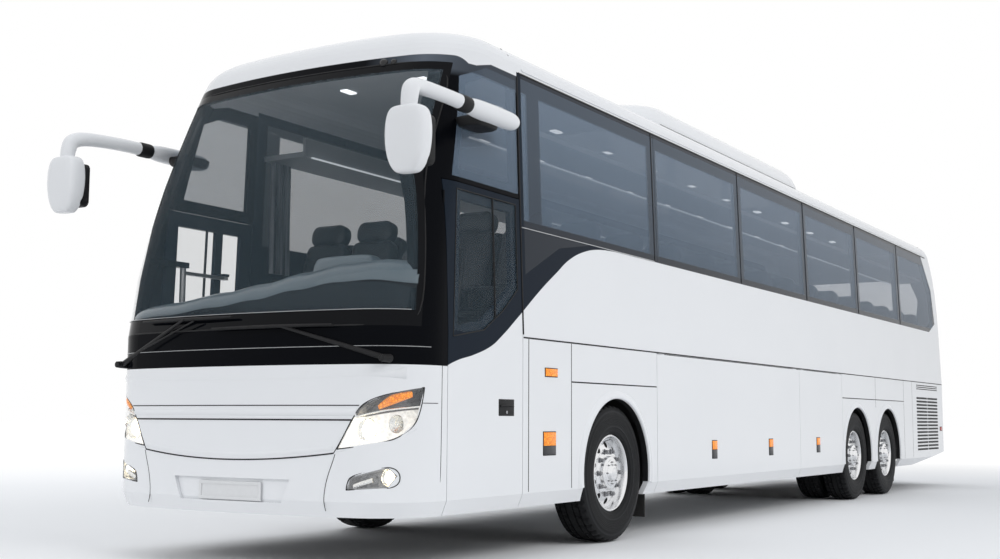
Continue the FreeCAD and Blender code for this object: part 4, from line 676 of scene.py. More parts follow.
def dish(x, z, radius, sign, depth=0.05, lit=0.2):
    """Plated dish with its bulb, facing forward a little behind the lens."""
    y = front_y(x + radius * 0.8, z) + 0.014
    bowl = ((0.0, radius), (-0.004, radius * 1.04), (0.002, radius * 1.08), (0.006, radius * 1.02),
            (depth * 0.45, radius * 0.74), (depth * 0.8, radius * 0.42), (depth, radius * 0.14),
            (depth, 0.0))
    shell = lathe("dish", bowl, 40, closed=False)
    shell.data.materials.append(plated)
    bulb = lathe("bulb", ((depth, radius * lit * 0.65), (depth * 0.5, radius * lit),
                          (depth * 0.25, radius * lit * 0.9), (depth * 0.15, 0.0)), 24, closed=False)
    bulb.data.materials.append(warm_bulb if lit > 0.5 else plated)
    pair = joined("dish", [shell, bulb])
    pair.data.transform(Matrix.Translation((sign * x, y, z)) @ Matrix.Rotation(math.pi / 2, 4, "Z"))
    return pair


def tube(name, points, radius, radii=None, smooth=True, cyclic=False, flat=1.0, sides=3):
    """Round or flattened bar along points, closed at its ends."""
    deselect()
    bpy.ops.curve.primitive_nurbs_path_add()
    curve = bpy.context.object
    curve.data.splines.clear()
    line = curve.data.splines.new("NURBS" if smooth else "POLY")
    line.points.add(len(points) - 1)
    for number, (spot, point) in enumerate(zip(line.points, points)):
        spot.co, spot.radius = (*point, 1), radii[number] if radii else 1
    if smooth:
        line.order_u, line.use_endpoint_u, line.resolution_u = 3, not cyclic, 5
    line.use_cyclic_u = cyclic
    curve.data.dimensions, curve.data.bevel_depth = "3D", radius
    curve.data.bevel_resolution, curve.data.use_fill_caps = sides, True
    bpy.ops.object.convert(target="MESH")
    piece = settle(name, 50)
    if flat != 1.0:
        middle = sum(v.co.z for v in piece.data.vertices) / len(piece.data.vertices)
        piece.data.transform(Matrix.Translation((0, 0, middle)) @ Matrix.Scale(flat, 4, (0, 0, 1))
                             @ Matrix.Translation((0, 0, -middle)))
    return piece


def edge_line(name, places, sign, radius, material, off, cyclic=True):
    """A moulded line on the front face that follows (x, z) places."""
    route = [(sign * x, front_y(x, z) + off, z) for x, z in places]
    return dress(tube(name, route, radius, cyclic=cyclic), material, "body", "black_trim")


seal, place = finish("black_seal", Specular_IOR_Level=0.25)
drive(seal, bump=(place.noise(300.0), 0.0002), Roughness=place.noise(12.0) * 0.2 + 0.45,
      Base_Color=place.noise(18.0).paint((0.006, 0.006, 0.007, 1), (0.018, 0.018, 0.019, 1)))
for side, sign in (("left", 1), ("right", -1)):
    dishes = [dish(*MAIN_LAMP, sign, lit=0.8), dish(*SIDE_LAMP, sign, 0.045)]
    dress(joined(f"headlight_{side}", dishes), None, "body", "lamp_bowl")
    dress(dish(*FOG_LAMP, sign, 0.04, 0.8), None, "body", "lamp_bowl").name = f"fog_lamp_{side}"
    fog_strip = [(sign * x, front_y(x, 0.55) + 0.022, z)
                 for x, z in ((0.915, 0.53), (0.97, 0.545), (1.03, 0.556))]
    dress(tube("fog_strip", fog_strip, 0.012, flat=1.5), plated, "body",
          "lamp_bowl").name = f"fog_reflector_{side}"
    route = [(sign * x, front_y(x, z) + 0.030, z) for x, z in INDICATOR]
    strip = tube("indicator", route, 0.022, radii=(0.45, 1, 1, 0.6), flat=1.4)
    dress(strip, amber, "body", "lens").name = f"indicator_lamp_{side}"
    edge_line(f"lamp_shelf_{side}", SHELF, sign, 0.006, plated, 0.014, False)
    edge_line(f"headlight_gasket_{side}", LAMP_EDGE, sign, 0.0035, seal, 0.0005)
    edge_line(f"fog_gasket_{side}", FOG_EDGE, sign, 0.0035, seal, 0.0005)

# ---------------------------------------------------------------- front panel lines
# Raised ribs pressed into the grille panel, a seam across the bumper and a blank number plate in
# its recess.
SEAM = 0.0022


def front_line(name, places, radius, material, off=0.0, **bar):
    """A line on the front face through (x, z) places."""
    route = [(x, front_y(x, z) - off, z) for x, z in places]
    return dress(tube(name, route, radius, **bar), material, "body", "black_trim")


def spread(x0, x1, count=21):
    return [x0 + (x1 - x0) * i / (count - 1) for i in range(count)]


front_line("grille_bar", [(x, 0.961) for x in spread(-0.93, 0.93)], 0.036, plain_enamel, -0.0295)
front_line("grille_shadow_upper", [(x, 1.004) for x in spread(-0.955, 0.955)], 0.0032, seal)
front_line("grille_shadow_lower", [(x, 0.917) for x in spread(-0.905, 0.905)], 0.005, seal)
GRILLE_FOOT = [(x, 0.668 + 0.050 * (x / 0.79) ** 2) for x in spread(-0.79, 0.79)]
front_line("grille_shadow_foot", GRILLE_FOOT, 0.0045, seal)
front_line("grille_roll", [(x * 0.985, z + 0.033) for x, z in GRILLE_FOOT], 0.040, plain_enamel,
           -0.0355)
front_line("bonnet_crease", [(x, 1.168 + 0.03 * (x / 1.2) ** 2) for x in spread(-1.17, 1.17, 31)],
           0.045, plain_enamel, -0.0425)
for side, sign in (("left", 1), ("right", -1)):
    # painted shadow: thin black lines down the grille panel's sides, along the lamps' inner edges
    front_line(f"grille_edge_shadow_{side}",
               [(sign * x, z) for x, z in ((0.79, 0.718), (0.813, 0.752), (0.862, 0.835),
                                           (0.905, 0.915))], 0.0028, seal)
    front_line(f"bumper_seam_{side}", [(sign * x, z) for x, z in
                                       ((0.800, 0.712), (0.785, 0.665), (0.757, 0.595), (0.737, 0.52),
                                        (0.728, 0.44), (0.738, 0.395), (0.745, 0.375))], SEAM, seal)
    front_line(f"bonnet_seam_{side}", [(sign * x, 1.02) for x in spread(1.244, 1.273, 5)], SEAM, seal)
    front_line(f"bumper_top_{side}", [(sign * x, z - 0.012) for x, z in LAMP_EDGE[1:6]], 0.010,
               plain_enamel, -0.007)

plate_paint, place = finish("plate_paint", Metallic=0.0)
drive(plate_paint, Roughness=place.noise(40.0) * 0.1 + 0.35,
      Base_Color=place.noise(30.0).paint((0.70, 0.705, 0.71, 1), (0.76, 0.765, 0.77, 1)))


def plate(name, y, z, facing):
    """Blank pressed number plate with a raised rim."""
    deselect()
    bpy.ops.mesh.primitive_cube_add(size=1, location=(0, y, z), scale=(0.52, 0.006, 0.115))
    bpy.ops.object.mode_set(mode="EDIT")
    bpy.ops.mesh.select_mode(type="FACE")
    bpy.ops.mesh.select_all(action="DESELECT")
    bpy.ops.object.mode_set(mode="OBJECT")
    for face in bpy.context.object.data.polygons:
        face.select = face.normal.y * facing > 0.9
    bpy.ops.object.mode_set(mode="EDIT")
    bpy.ops.mesh.inset(thickness=0.02)
    bpy.ops.mesh.extrude_region_move(TRANSFORM_OT_translate={"value": (0, -facing * 0.25, 0)})
    piece = settle(name)
    return dress(piece, plate_paint, "body", "body_paint")


plate("front_plate", FRONT + 0.019, 0.475, -1)

# ---------------------------------------------------------------- mirrors
# Moulded heads that hang ahead of the windscreen on swept arms. A round pod on the side above
# the front doors carries each arm, with a black sleeve where the arm turns in it.
mirror_glass, place = finish("mirror_glass", Metallic=1.0)
drive(mirror_glass, Roughness=place.noise(90.0) * 0.01 + 0.01,
      Base_Color=place.noise(30.0).paint((0.78, 0.79, 0.8, 1), (0.84, 0.85, 0.86, 1)))
HEAD_ROWS = ((0.0, 0.140, 0.090), (-0.008, 0.215, 0.120), (-0.045, 0.272, 0.145),
             (-0.150, 0.296, 0.160), (-0.270, 0.276, 0.150), (-0.345, 0.226, 0.126),
             (-0.388, 0.160, 0.100), (-0.398, 0.110, 0.070))


def moulded(name, rows, x, y, levels=2, corner=1):
    """Closed round-cornered body lofted through rows of (z, width, depth)."""
    deselect()
    z, wide, deep = rows[0]
    bpy.ops.mesh.primitive_plane_add(size=1, location=(x, y, z))
    bpy.ops.object.mode_set(mode="EDIT")
    bpy.ops.transform.resize(value=(wide, deep, 1), center_override=(x, y, z))
    bpy.ops.mesh.bevel(offset=min(wide, deep) * 0.2, segments=corner, affect="VERTICES")
    bpy.ops.mesh.select_all(action="SELECT")
    for (z0, w0, d0), (z1, w1, d1) in zip(rows, rows[1:]):
        bpy.ops.mesh.extrude_region_move(TRANSFORM_OT_translate={"value": (0, 0, z1 - z0)})
        bpy.ops.transform.resize(value=(w1 / w0, d1 / d0, 1), center_override=(x, y, z1))
    bpy.ops.mesh.select_all(action="SELECT")
    bpy.ops.mesh.normals_make_consistent(inside=False)
    bpy.ops.object.mode_set(mode="OBJECT")
    if levels:
        round_off = bpy.context.object.modifiers.new("round", "SUBSURF")
        round_off.levels = round_off.render_levels = levels
        bpy.ops.object.modifier_apply(modifier=round_off.name)
    return settle(name, 60)


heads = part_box("mirror_heads")
POD_Z, ARM_X, HEAD_X = 2.88, 1.40, 1.452
POD_FRONT, POD_REAR = -6.28, -5.79
head_y = (heads[0].y + heads[1].y) / 2
head_top = heads[1].z
for side, sign in (("left", 1), ("right", -1)):
    pod = [tube("pod", [(sign * ARM_X, y, POD_Z) for y in
                        (POD_FRONT - 0.064, POD_FRONT - 0.055, POD_FRONT - 0.02, POD_FRONT + 0.1,
                         POD_REAR - 0.06, POD_REAR + 0.02, POD_REAR + 0.055, POD_REAR + 0.064)],
                0.063, radii=(0.1, 0.52, 0.86, 1, 1, 0.86, 0.5, 0.1), sides=8)]
    foot = moulded("foot", ((POD_Z - 0.01, 0.24, 0.30), (POD_Z - 0.03, 0.25, 0.31),
                            (POD_Z - 0.08, 0.20, 0.26), (POD_Z - 0.085, 0.18, 0.24)),
                   sign * (ARM_X - 0.11), (POD_FRONT + POD_REAR) / 2)
    route = [(sign * ARM_X, POD_FRONT + 0.05, POD_Z), (sign * ARM_X, POD_FRONT - 0.12, POD_Z + 0.002),
             (sign * (ARM_X + 0.006), POD_FRONT - 0.30, POD_Z + 0.004),
             (sign * (ARM_X + 0.022), head_y + 0.16, POD_Z - 0.008),
             (sign * (HEAD_X - 0.012), head_y + 0.05, POD_Z - 0.030),
             (sign * HEAD_X, head_y + 0.008, POD_Z - 0.075), (sign * HEAD_X, head_y, head_top - 0.012)]
    arm = tube("arm", route, 0.048, radii=(0.98, 0.98, 0.94, 0.98, 1.08, 1.12, 1.0), sides=8)
    dress(joined(f"mirror_arm_{side}", pod + [arm]), plain_enamel, "body", "body_paint",
          "mirror_arms")
    foot_skin = foot
    dress(foot_skin, seal, "body", "black_trim").name = f"mirror_foot_{side}"
    sleeve = [(sign * ARM_X, y, POD_Z) for y in (POD_FRONT - 0.045, POD_FRONT - 0.06,
                                                 POD_FRONT - 0.14, POD_FRONT - 0.155)]
    dress(tube("sleeve", sleeve, 0.052, radii=(1, 1.03, 1.03, 0.9), smooth=False, sides=8), seal,
          "body", "black_trim").name = f"mirror_sleeve_{side}"
    rows = [(head_top + drop * 0.995, wide, deep) for drop, wide, deep in HEAD_ROWS]
    shell = moulded("shell", rows, sign * HEAD_X, head_y, 3)
    dress(shell, plain_enamel, "body", "body_paint", "mirror_heads").name = f"mirror_head_{side}"
    # the glass faces the rear, in a black rim
    back = head_y + 0.058
    for name, low, high, depth, material in (
            (f"mirror_rim_{side}", -0.345, -0.045, 0.010, seal),
            (f"mirror_glass_{side}", -0.335, -0.055, 0.013, mirror_glass)):
        deselect()
        half = 0.118 if material is seal else 0.108
        bpy.ops.mesh.primitive_cube_add(size=1, location=(sign * HEAD_X, back + depth / 2 + 0.005,
                                                          head_top + (low + high) / 2),
                                        scale=(2 * half, depth, high - low))
        bpy.ops.object.mode_set(mode="EDIT")
        bpy.ops.mesh.select_mode(type="EDGE")
        bpy.ops.object.mode_set(mode="OBJECT")
        body = bpy.context.object.data
        for edge in body.edges:
            a, b = (body.vertices[i].co for i in edge.vertices)
            edge.select = abs(a.y - b.y) > 0.1
        bpy.ops.object.mode_set(mode="EDIT")
        bpy.ops.mesh.bevel(offset=0.04, segments=6, affect="EDGES")
        bpy.ops.object.mode_set(mode="OBJECT")
        dress(settle(name), material, "body", "body_paint" if material is mirror_glass
              else "black_trim")

# ---------------------------------------------------------------- wipers
# Two pressed-steel arms in black, turning on spindles in the foot panel. Each carries a long
# jointed blade with a rubber lip; the left one also has a thin guide rod.
WIPER_OFF = 0.045
ARM_PLACES = (((-1.13, 1.285), (-0.394, 1.560), (-0.83, 1.560), (0.03, 1.560)),
              ((1.12, 1.285), (0.420, 1.490), (-0.138, 1.490), (0.792, 1.490)))


def ahead_of_glass(x, z, off=WIPER_OFF):
    return Vector((x, front_y(x, z) - off, z))


for number, (pivot, elbow, start, end) in enumerate(ARM_PLACES, 1):
    a, b = ahead_of_glass(*pivot), ahead_of_glass(*elbow)
    cap = lathe("cap", ((-0.052, 0.0), (-0.052, 0.014), (-0.047, 0.021), (-0.014, 0.024),
                        (0.012, 0.025), (0.040, 0.026), (0.040, 0.0)), 28, closed=False)
    cap.data.transform(Matrix.Translation(a) @ Matrix.Rotation(math.pi / 2, 4, "Z"))
    heel = a.lerp(b, 0.28)
    arm = tube("arm", [a, a.lerp(b, 0.12), heel, a.lerp(b, 0.6), b], 0.0105,
               radii=(1.7, 1.7, 1.5, 1.2, 0.9), sides=4)
    count = 9
    run = [start[0] + (end[0] - start[0]) * i / (count - 1) for i in range(count)]
    spine = tube("spine", [ahead_of_glass(x, start[1], WIPER_OFF - 0.004) for x in run], 0.0105,
                 radii=[0.55 + 0.45 * math.sin(math.pi * i / (count - 1)) for i in range(count)])
    lip = tube("lip", [ahead_of_glass(x, start[1], WIPER_OFF - 0.02) for x in run], 0.0035)
    clips = [tube("clip", [ahead_of_glass(x, start[1], WIPER_OFF - 0.003),
                           ahead_of_glass(x, start[1], WIPER_OFF - 0.02)], 0.006, smooth=False)
             for x in run[1:-1:2]]
    parts = [cap, arm, spine, lip] + clips
    if number == 1:
        rod_a, rod_b = ahead_of_glass(-0.80, 1.376), ahead_of_glass(-0.30, 1.545)
        parts.append(tube("guide", [rod_a, rod_a.lerp(rod_b, 0.5), rod_b], 0.006))
    piece = dress(joined(f"wiper_{number}", parts), seal, "body", "black_trim")
    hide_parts("wipers")

# ---------------------------------------------------------------- side lines and arch lips
# Black belt moulding under the windows, sealed joints between the side panels, and rolled
# steel lips round the wheel arches.
BELT_Z = 1.473
SIDE_FRONT = DOOR_REAR + 0.006


def block(name, low, high, bevel, segments=2):
    """Bar with rounded edges between two corners."""
    deselect()
    low, high = Vector(low), Vector(high)
    bpy.ops.mesh.primitive_cube_add(size=1, location=(low + high) / 2, scale=high - low)
    bpy.ops.object.transform_apply(scale=True)
    bpy.ops.object.mode_set(mode="EDIT")
    bpy.ops.mesh.bevel(offset=bevel, segments=segments, affect="EDGES")
    return settle(name)


def on_side(sign, inner, outer):
    return sorted((sign * (HALF + inner), sign * (HALF + outer)))


def side_bar(name, sign, y, z, proud, material, body="body", bevel=0.0006, sunk=0.004):
    """A bar on the side wall between two y and two z."""
    x = on_side(sign, -sunk, proud)
    piece = block(name, (x[0], y[0], z[0]), (x[1], y[1], z[1]), bevel)
    return dress(piece, material, body, "black_trim")


LIP = ((-0.004, 0.5655), (0.010, 0.5665), (0.0155, 0.571), (0.0175, 0.580), (0.0165, 0.596),
       (0.011, 0.616), (0.005, 0.628), (0.0, 0.633), (-0.004, 0.633))
LINER = ((-0.047, 0.5638), (-0.001, 0.5638), (-0.001, 0.5665), (-0.047, 0.5665))


def arch_band(name, y, sign, profile, material, slot):
    """Band round a wheel arch, from the skirt's tuck over the top and down again."""
    deselect()
    start = math.asin((0.436 - TYRE_R) / 0.582)
    bpy.ops.mesh.primitive_plane_add(size=0.001)
    bpy.ops.object.mode_set(mode="EDIT")
    bpy.ops.mesh.merge(type="CENTER")
    points = [Vector((HALF + x, r * math.cos(start), r * math.sin(start))) for x, r in profile]
    bpy.ops.transform.translate(value=points[0])
    for a, b in zip(points, points[1:] + points[:1]):
        bpy.ops.mesh.extrude_region_move(TRANSFORM_OT_translate={"value": b - a})
    bpy.ops.mesh.select_all(action="SELECT")
    bpy.ops.mesh.remove_doubles(threshold=1e-5)
    bpy.ops.mesh.edge_face_add()
    bpy.ops.mesh.select_all(action="SELECT")
    bpy.ops.mesh.spin(steps=56, angle=math.pi - 2 * start, center=(0, 0, 0), axis=(-1, 0, 0))
    bpy.ops.mesh.select_all(action="SELECT")
    bpy.ops.mesh.remove_doubles(threshold=1e-5)
    bpy.ops.mesh.normals_make_consistent(inside=False)
    lip = settle(name, 40)
    lip.data.transform(Matrix.Translation((0, y, TYRE_R)))
    if sign < 0:
        lip.data.transform(Matrix.Scale(-1, 4, (1, 0, 0)))
        lip.data.flip_normals()
    return dress(lip, material, "body", slot)


def side_x(sign, z, off=0.0):
    """x of the upper side wall at a height."""
    return sign * (HALF - 0.065 * max(0.0, (z - 1.473) / 1.887) + off)


for side, sign in (("left", 1), ("right", -1)):
    side_bar(f"belt_moulding_{side}", sign, (SIDE_FRONT, REAR - 0.13), (BELT_Z + 0.002, BELT_Z + 0.012),
             0.0025, seal)
    joints = [(AXLE - 1.349, 0.44, BELT_Z), (AXLE - 0.734, 0.44, BELT_Z), (AXLE + 7.32, 1.10, BELT_Z),
              (AXLE + 8.71, 0.44, BELT_Z), (AXLE + 9.17, 0.44, BELT_Z)]
    for number, (y, low, high) in enumerate(joints, 1):
        half = 0.0045 if number < 3 else 0.0028
        side_bar(f"side_joint_{side}_{number}", sign, (y - half, y + half), (low, high), 0.0006,
                 seal, bevel=0.0003)
    side_bar(f"arch_joint_{side}_front", sign, (AXLE - 0.734, AXLE + 0.739), (1.192, 1.202), 0.0006,
             seal, bevel=0.0003)
    side_bar(f"arch_joint_{side}_rear", sign, (AXLE + 5.91, AXLE + 8.71), (1.192, 1.202), 0.0006,
             seal, bevel=0.0003)
    for axle, y in AXLES.items():
        arch_band(f"arch_lip_{side}_{axle}", y, sign, LIP, plain_enamel, "body_paint")
        arch_band(f"arch_liner_{side}_{axle}", y, sign, LINER, seal, "black_trim")
    corner = [(sign * x, y, z) for x, y, z in
              ((HALF, -6.393, 1.25), (HALF, -6.395, 0.95), (HALF, -6.398, 0.72), (HALF, -6.402, 0.55),
               (1.262, -6.406, 0.43), (1.245, -6.410, 0.365))]
    dress(tube(f"corner_seam_{side}", corner, SEAM), seal, "body", "black_trim")
    behind_door = [(side_x(sign, z, 0.0005), SIDE_FRONT - 0.004, z) for z in (1.5, 2.0, 2.6, 3.1, 3.3)]
    dress(tube(f"pillar_seam_{side}", behind_door, 0.0065), seal, "body", "black_trim")

# ---------------------------------------------------------------- side lamps and reflectors
# Amber marker lamps in black housings, a larger indicator behind the driver's door and red and
# amber reflectors, each a moulded lens pressed into a gasket.
# painted glow: the red lens emits faintly, also on the reflectors, which are no lamps
red, place = finish("red_lens", Roughness=0.12, Emission_Strength=0.12)
cells = place.node("TexVoronoi", {"feature": "DISTANCE_TO_EDGE"}, {"Vector": place, "Scale": 85})
shine = cells.maths("MULTIPLY", 3.0, clamp=True)
drive(red, bump=(cells, 0.002), Base_Color=shine.paint((0.25, 0.004, 0.003, 1), (0.62, 0.02, 0.012, 1)),
      Emission_Color=shine.paint((0.3, 0.0, 0.0, 1), (0.9, 0.05, 0.02, 1)))
MARKERS = (("marker_1", 1.86, 2.09), ("marker_2", 3.34, 3.57), ("marker_3", 4.86, 5.08))
split_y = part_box("left_luggage_door_front")[1].y


def lamp_on_side(name, sign, y, z, lens, body="body", share=0.5):
    """Gasket, a lens over its upper share and a dark window under it."""
    gasket = side_bar(f"{name}_gasket", sign, (y[0] - 0.006, y[1] + 0.006),
                      (z[0] - 0.006, z[1] + 0.006), 0.0035, seal, body, 0.002)
    middle = z[1] - (z[1] - z[0]) * share
    upper = side_bar(f"{name}_lens", sign, y, (middle, z[1]), 0.008, lens, body, 0.0028)
    if share < 1:
        side_bar(f"{name}_window", sign, (y[0], y[1]), (z[0], middle - 0.002), 0.006, bezel, body,
                 0.0025)
    return gasket


for side, sign in (("left", 1), ("right", -1)):
    lamp_on_side(f"indicator_{side}", sign, (AXLE - 1.145, AXLE - 0.975), (0.683, 0.838), amber,
                 share=0.6)
    lamp_on_side(f"reflector_{side}", sign, (AXLE - 1.12, AXLE - 0.95), (1.228, 1.281), amber,
                 share=1.0)
    lamp_on_side(f"rear_reflector_{side}", sign, (AXLE + 10.78, AXLE + 10.90), (0.80, 0.85), red,
                 share=1.0)
    for name, y0, y1 in MARKERS:
        middle = AXLE + (y0 + y1) / 2
        body = f"{side}_luggage_door_{'front' if middle < split_y else 'rear'}"
        lamp_on_side(f"{name}_{side}", sign, (middle - 0.055, middle + 0.055), (0.592, 0.745),
                     amber, body)

# ---------------------------------------------------------------- rear side grille
# Engine air intake: pressed black louvres in two columns, with three long slits above them.
for side, sign in (("left", 1), ("right", -1)):
    slots = []
    x = on_side(sign, -0.004, 0.0016)
    for column in (0, 1):
        y0 = AXLE + 9.42 + column * 0.63
        for row in range(16):
            z = 0.53 + row * 0.0475
            slots.append(block("slot", (x[0], y0, z), (x[1], y0 + 0.60, z + 0.026), 0.0007, 1))
    for row in range(3):
        z = 1.377 + row * 0.026
        slots.append(block("slot", (x[0], AXLE + 9.42, z), (x[1], AXLE + 10.65, z + 0.012), 0.0007, 1))
    dress(joined(f"intake_grille_{side}", slots), seal, "body", "black_trim")
    lips = []
    for column in (0, 1):
        y0 = AXLE + 9.42 + column * 0.63
        for row in range(16):
            z = 0.53 + row * 0.0475 + 0.026
            a, b = on_side(sign, -0.001, 0.005)
            lips.append(block("lip", (a, y0 - 0.004, z), (b, y0 + 0.604, z + 0.006), 0.002, 1))
    dress(joined(f"intake_louvres_{side}", lips), plain_enamel, "body", "body_paint")

# ---------------------------------------------------------------- door fittings, window seals and a highlight bead
# The driver's door has a flush black handle cup and a window with a sliding rear half. Rubber
# section seals each pane.
# a bright finish for the bead under the first panes: its brightness is a painted highlight
highlight_trim, place = finish("highlight_trim", Metallic=0.6)
drive(highlight_trim, Roughness=place.noise(60.0) * 0.1 + 0.25,
      Base_Color=place.noise(40.0).paint((0.42, 0.43, 0.44, 1), (0.62, 0.63, 0.64, 1)))
handle = block("handle_plate", (HALF - 0.004, AXLE - 1.74, 0.948), (HALF + 0.003, AXLE - 1.545, 1.058),
               0.003, 3)
dress(handle, seal, "driver_door", "black_trim")
cup = tube("handle_bar", [(HALF + 0.006, AXLE - 1.725, 1.012), (HALF + 0.0095, AXLE - 1.70, 1.016),
                          (HALF + 0.0095, AXLE - 1.59, 1.016), (HALF + 0.006, AXLE - 1.56, 1.012)],
           0.006, sides=4)
dress(cup, seal, "driver_door", "black_trim")
lock = lathe("door_lock", ((0.0, 0.011), (0.003, 0.011), (0.004, 0.009), (0.004, 0.0)), 24,
             closed=False)
lock.data.transform(Matrix.Translation((HALF + 0.0025, AXLE - 1.643, 0.972)))
dress(lock, chrome, "driver_door", "bare_metal")


def wall_x(z):
    """Half width of the body at this height, as the wall leans in above the belt."""
    return HALF - 0.065 * max(0.0, (z - BELT_Z) / 1.887)


def bar_on_wall(name, sign, start, end, radius, material, body, off=0.0, slot="black_trim"):
    """Bar along the leaning wall between two (y, z) places."""
    steps = 7
    route = []
    for i in range(steps):
        y = start[0] + (end[0] - start[0]) * i / (steps - 1)
        z = start[1] + (end[1] - start[1]) * i / (steps - 1)
        route.append((sign * (wall_x(z) + off), y, z))
    return dress(tube(name, route, radius, smooth=False), material, body, slot)


DRIVER_GLASS = ((DOOR_REAR - 0.86, 1.44), (DOOR_REAR - 0.50, 1.50), (DOOR_REAR - 0.26, 1.64),
                (DOOR_REAR - 0.06, 1.80), (DOOR_REAR - 0.06, 2.386), (DOOR_REAR - 0.79, 2.386))
rim = list(DRIVER_GLASS) + [DRIVER_GLASS[0]]
bars = []
for number, (start, end) in enumerate(zip(rim, rim[1:])):
    bars.append(bar_on_wall("window_rubber", 1, start, end, 0.0045, seal, "driver_door"))
dress(joined("driver_window_rubber", bars), seal, "driver_door", "black_trim")
bar_on_wall("driver_window_divider", 1, (DOOR_REAR - 0.36, 1.585), (DOOR_REAR - 0.36, 2.38),
                    0.007, seal, "driver_door", off=0.001)
DOOR_GLASS = ((DOOR_REAR - 0.85, 1.08), (DOOR_REAR - 0.07, 1.08), (DOOR_REAR - 0.07, 2.386),
              (DOOR_REAR - 0.85, 2.386))
rim = list(DOOR_GLASS) + [DOOR_GLASS[0]]
bars = [bar_on_wall("window_rubber", -1, a, b, 0.0045, seal, "passenger_door")
        for a, b in zip(rim, rim[1:])]
dress(joined("passenger_window_rubber", bars), seal, "passenger_door", "black_trim")
for side, sign in (("left", 1), ("right", -1)):
    for number in range(5):
        y = PANE_JOINT + number * PANE_PITCH
        bar_on_wall(f"pane_seal_{side}_{number + 1}", sign, (y, BAND_Z + 0.006), (y, 3.33), 0.0075,
                    seal, "body", off=-0.002)
    bar_on_wall(f"head_seal_{side}", sign, (SIDE_FRONT + 0.02, 3.334), (PANES_END - 0.34, 3.334),
                0.008, seal, "body", off=-0.003)
    # painted highlight: a bright bar along the foot of the first panes stands in for the highlight there
    bar_on_wall(f"window_highlight_bead_{side}", sign, (SIDE_FRONT + 0.01, 2.240), (SIDE_FRONT + 2.19, 2.240),
                0.0032, highlight_trim, "body", off=0.0025)
bar_on_wall("passenger_window_divider", -1, (DOOR_REAR - 0.46, 1.09), (DOOR_REAR - 0.46, 2.38), 0.010,
            seal, "passenger_door", off=-0.008)

# ---------------------------------------------------------------- seats
# Reclining coach seats in black leather over moulded foam: a cushion, a back with sewn channels
# and a separate headrest, on a steel beam between the wall and one leg. Armrests are moulded.
SEAT_X, SEAT_W, SEAT_SPACE, PITCH = 0.245, 0.45, 0.02, 0.79
FIRST_ROW, ROWS = DOOR_REAR + 0.061, 15
leather, place = finish("seat_leather", Specular_IOR_Level=0.4)
hide = place.node("TexVoronoi", {"feature": "DISTANCE_TO_EDGE"}, {"Vector": place, "Scale": 420})
rub = place.noise(11.0, 5.0)
drive(leather, bump=(hide, 0.0003), Roughness=rub * 0.25 + 0.34,
      Base_Color=rub.paint((0.012, 0.013, 0.015, 1), (0.045, 0.048, 0.053, 1)))
dark_plastic, place = finish("dark_plastic")
drive(dark_plastic, bump=(place.noise(700.0), 0.0003), Roughness=place.noise(9.0) * 0.15 + 0.45,
      Base_Color=place.noise(14.0).paint((0.012, 0.012, 0.013, 1), (0.030, 0.030, 0.032, 1)))


def foam(low, high, crown, corner, voxel=0.014, keep=0.016):
    """Padded block: its faces swell between the sewn edges under pressure from inside."""
    deselect()
    low, high = Vector(low), Vector(high)
    size = high - low
    bpy.ops.mesh.primitive_cube_add(size=1, location=(low + high) / 2, scale=size * 0.965)
    bpy.ops.object.transform_apply(scale=True)
    piece = bpy.context.object
    bpy.ops.object.mode_set(mode="EDIT")
    bpy.ops.mesh.select_mode(type="EDGE")
    bpy.ops.mesh.select_all(action="DESELECT")
    bpy.ops.object.mode_set(mode="OBJECT")
    for edge in piece.data.edges:
        a, b = (piece.data.vertices[i].co for i in edge.vertices)
        edge.select = abs(a.z - b.z) > size.z / 2
    bpy.ops.object.mode_set(mode="EDIT")
    bpy.ops.mesh.bevel(offset=corner, segments=5, affect="EDGES")
    bpy.ops.mesh.select_all(action="SELECT")
    bpy.ops.mesh.bevel(offset=min(size) * 0.2, segments=3, affect="EDGES", clamp_overlap=True)
    bpy.ops.object.mode_set(mode="OBJECT")
    piece.data.remesh_voxel_size = voxel
    bpy.ops.object.voxel_remesh()
    start = [v.co.copy() for v in piece.data.vertices]
    cloth = piece.modifiers.new("swell", "CLOTH")
    cloth.settings.use_pressure = True
    cloth.settings.uniform_pressure_force = 4
    cloth.settings.effector_weights.gravity = 0
    for number in range(1, 13):
        bpy.context.scene.frame_set(number)
    bpy.context.view_layer.update()
    swollen = piece.evaluated_get(bpy.context.evaluated_depsgraph_get()).data
    places = [v.co.copy() for v in swollen.vertices]
    piece.modifiers.remove(cloth)
    bpy.context.scene.frame_set(1)
    for vertex, old, new in zip(piece.data.vertices, start, places):
        step = new - old
        if step.length > keep:
            step *= keep / step.length
        vertex.co = old + step
    middle = (low + high) / 2
    for vertex in piece.data.vertices:
        share = [(vertex.co[i] - middle[i]) / (size[i] / 2) for i in range(3)]
        side = (1 - min(1, share[0] ** 2)) * (1 - min(1, share[1] ** 2))
        if vertex.co.z > middle.z:
            vertex.co.z += crown * side
    return piece


def channels(piece, axis, spots, depth, width=0.011):
    """Sewn channels pressed into the top face, across one axis."""
    top = max(v.co.z for v in piece.data.vertices)
    for vertex in piece.data.vertices:
        if vertex.co.z < top - 0.05:
            continue
        for spot in spots:
            reach = abs(vertex.co[axis] - spot) / width
            if reach < 1:
                vertex.co.z -= depth * (1 + math.cos(math.pi * reach)) / 2


def laid(piece, tilt, move):
    """Turns a piece that was made flat, about the vehicle's cross axis, and moves it."""
    piece.data.transform(Matrix.Translation(move) @ Matrix.Rotation(tilt, 4, "X"))
    return piece


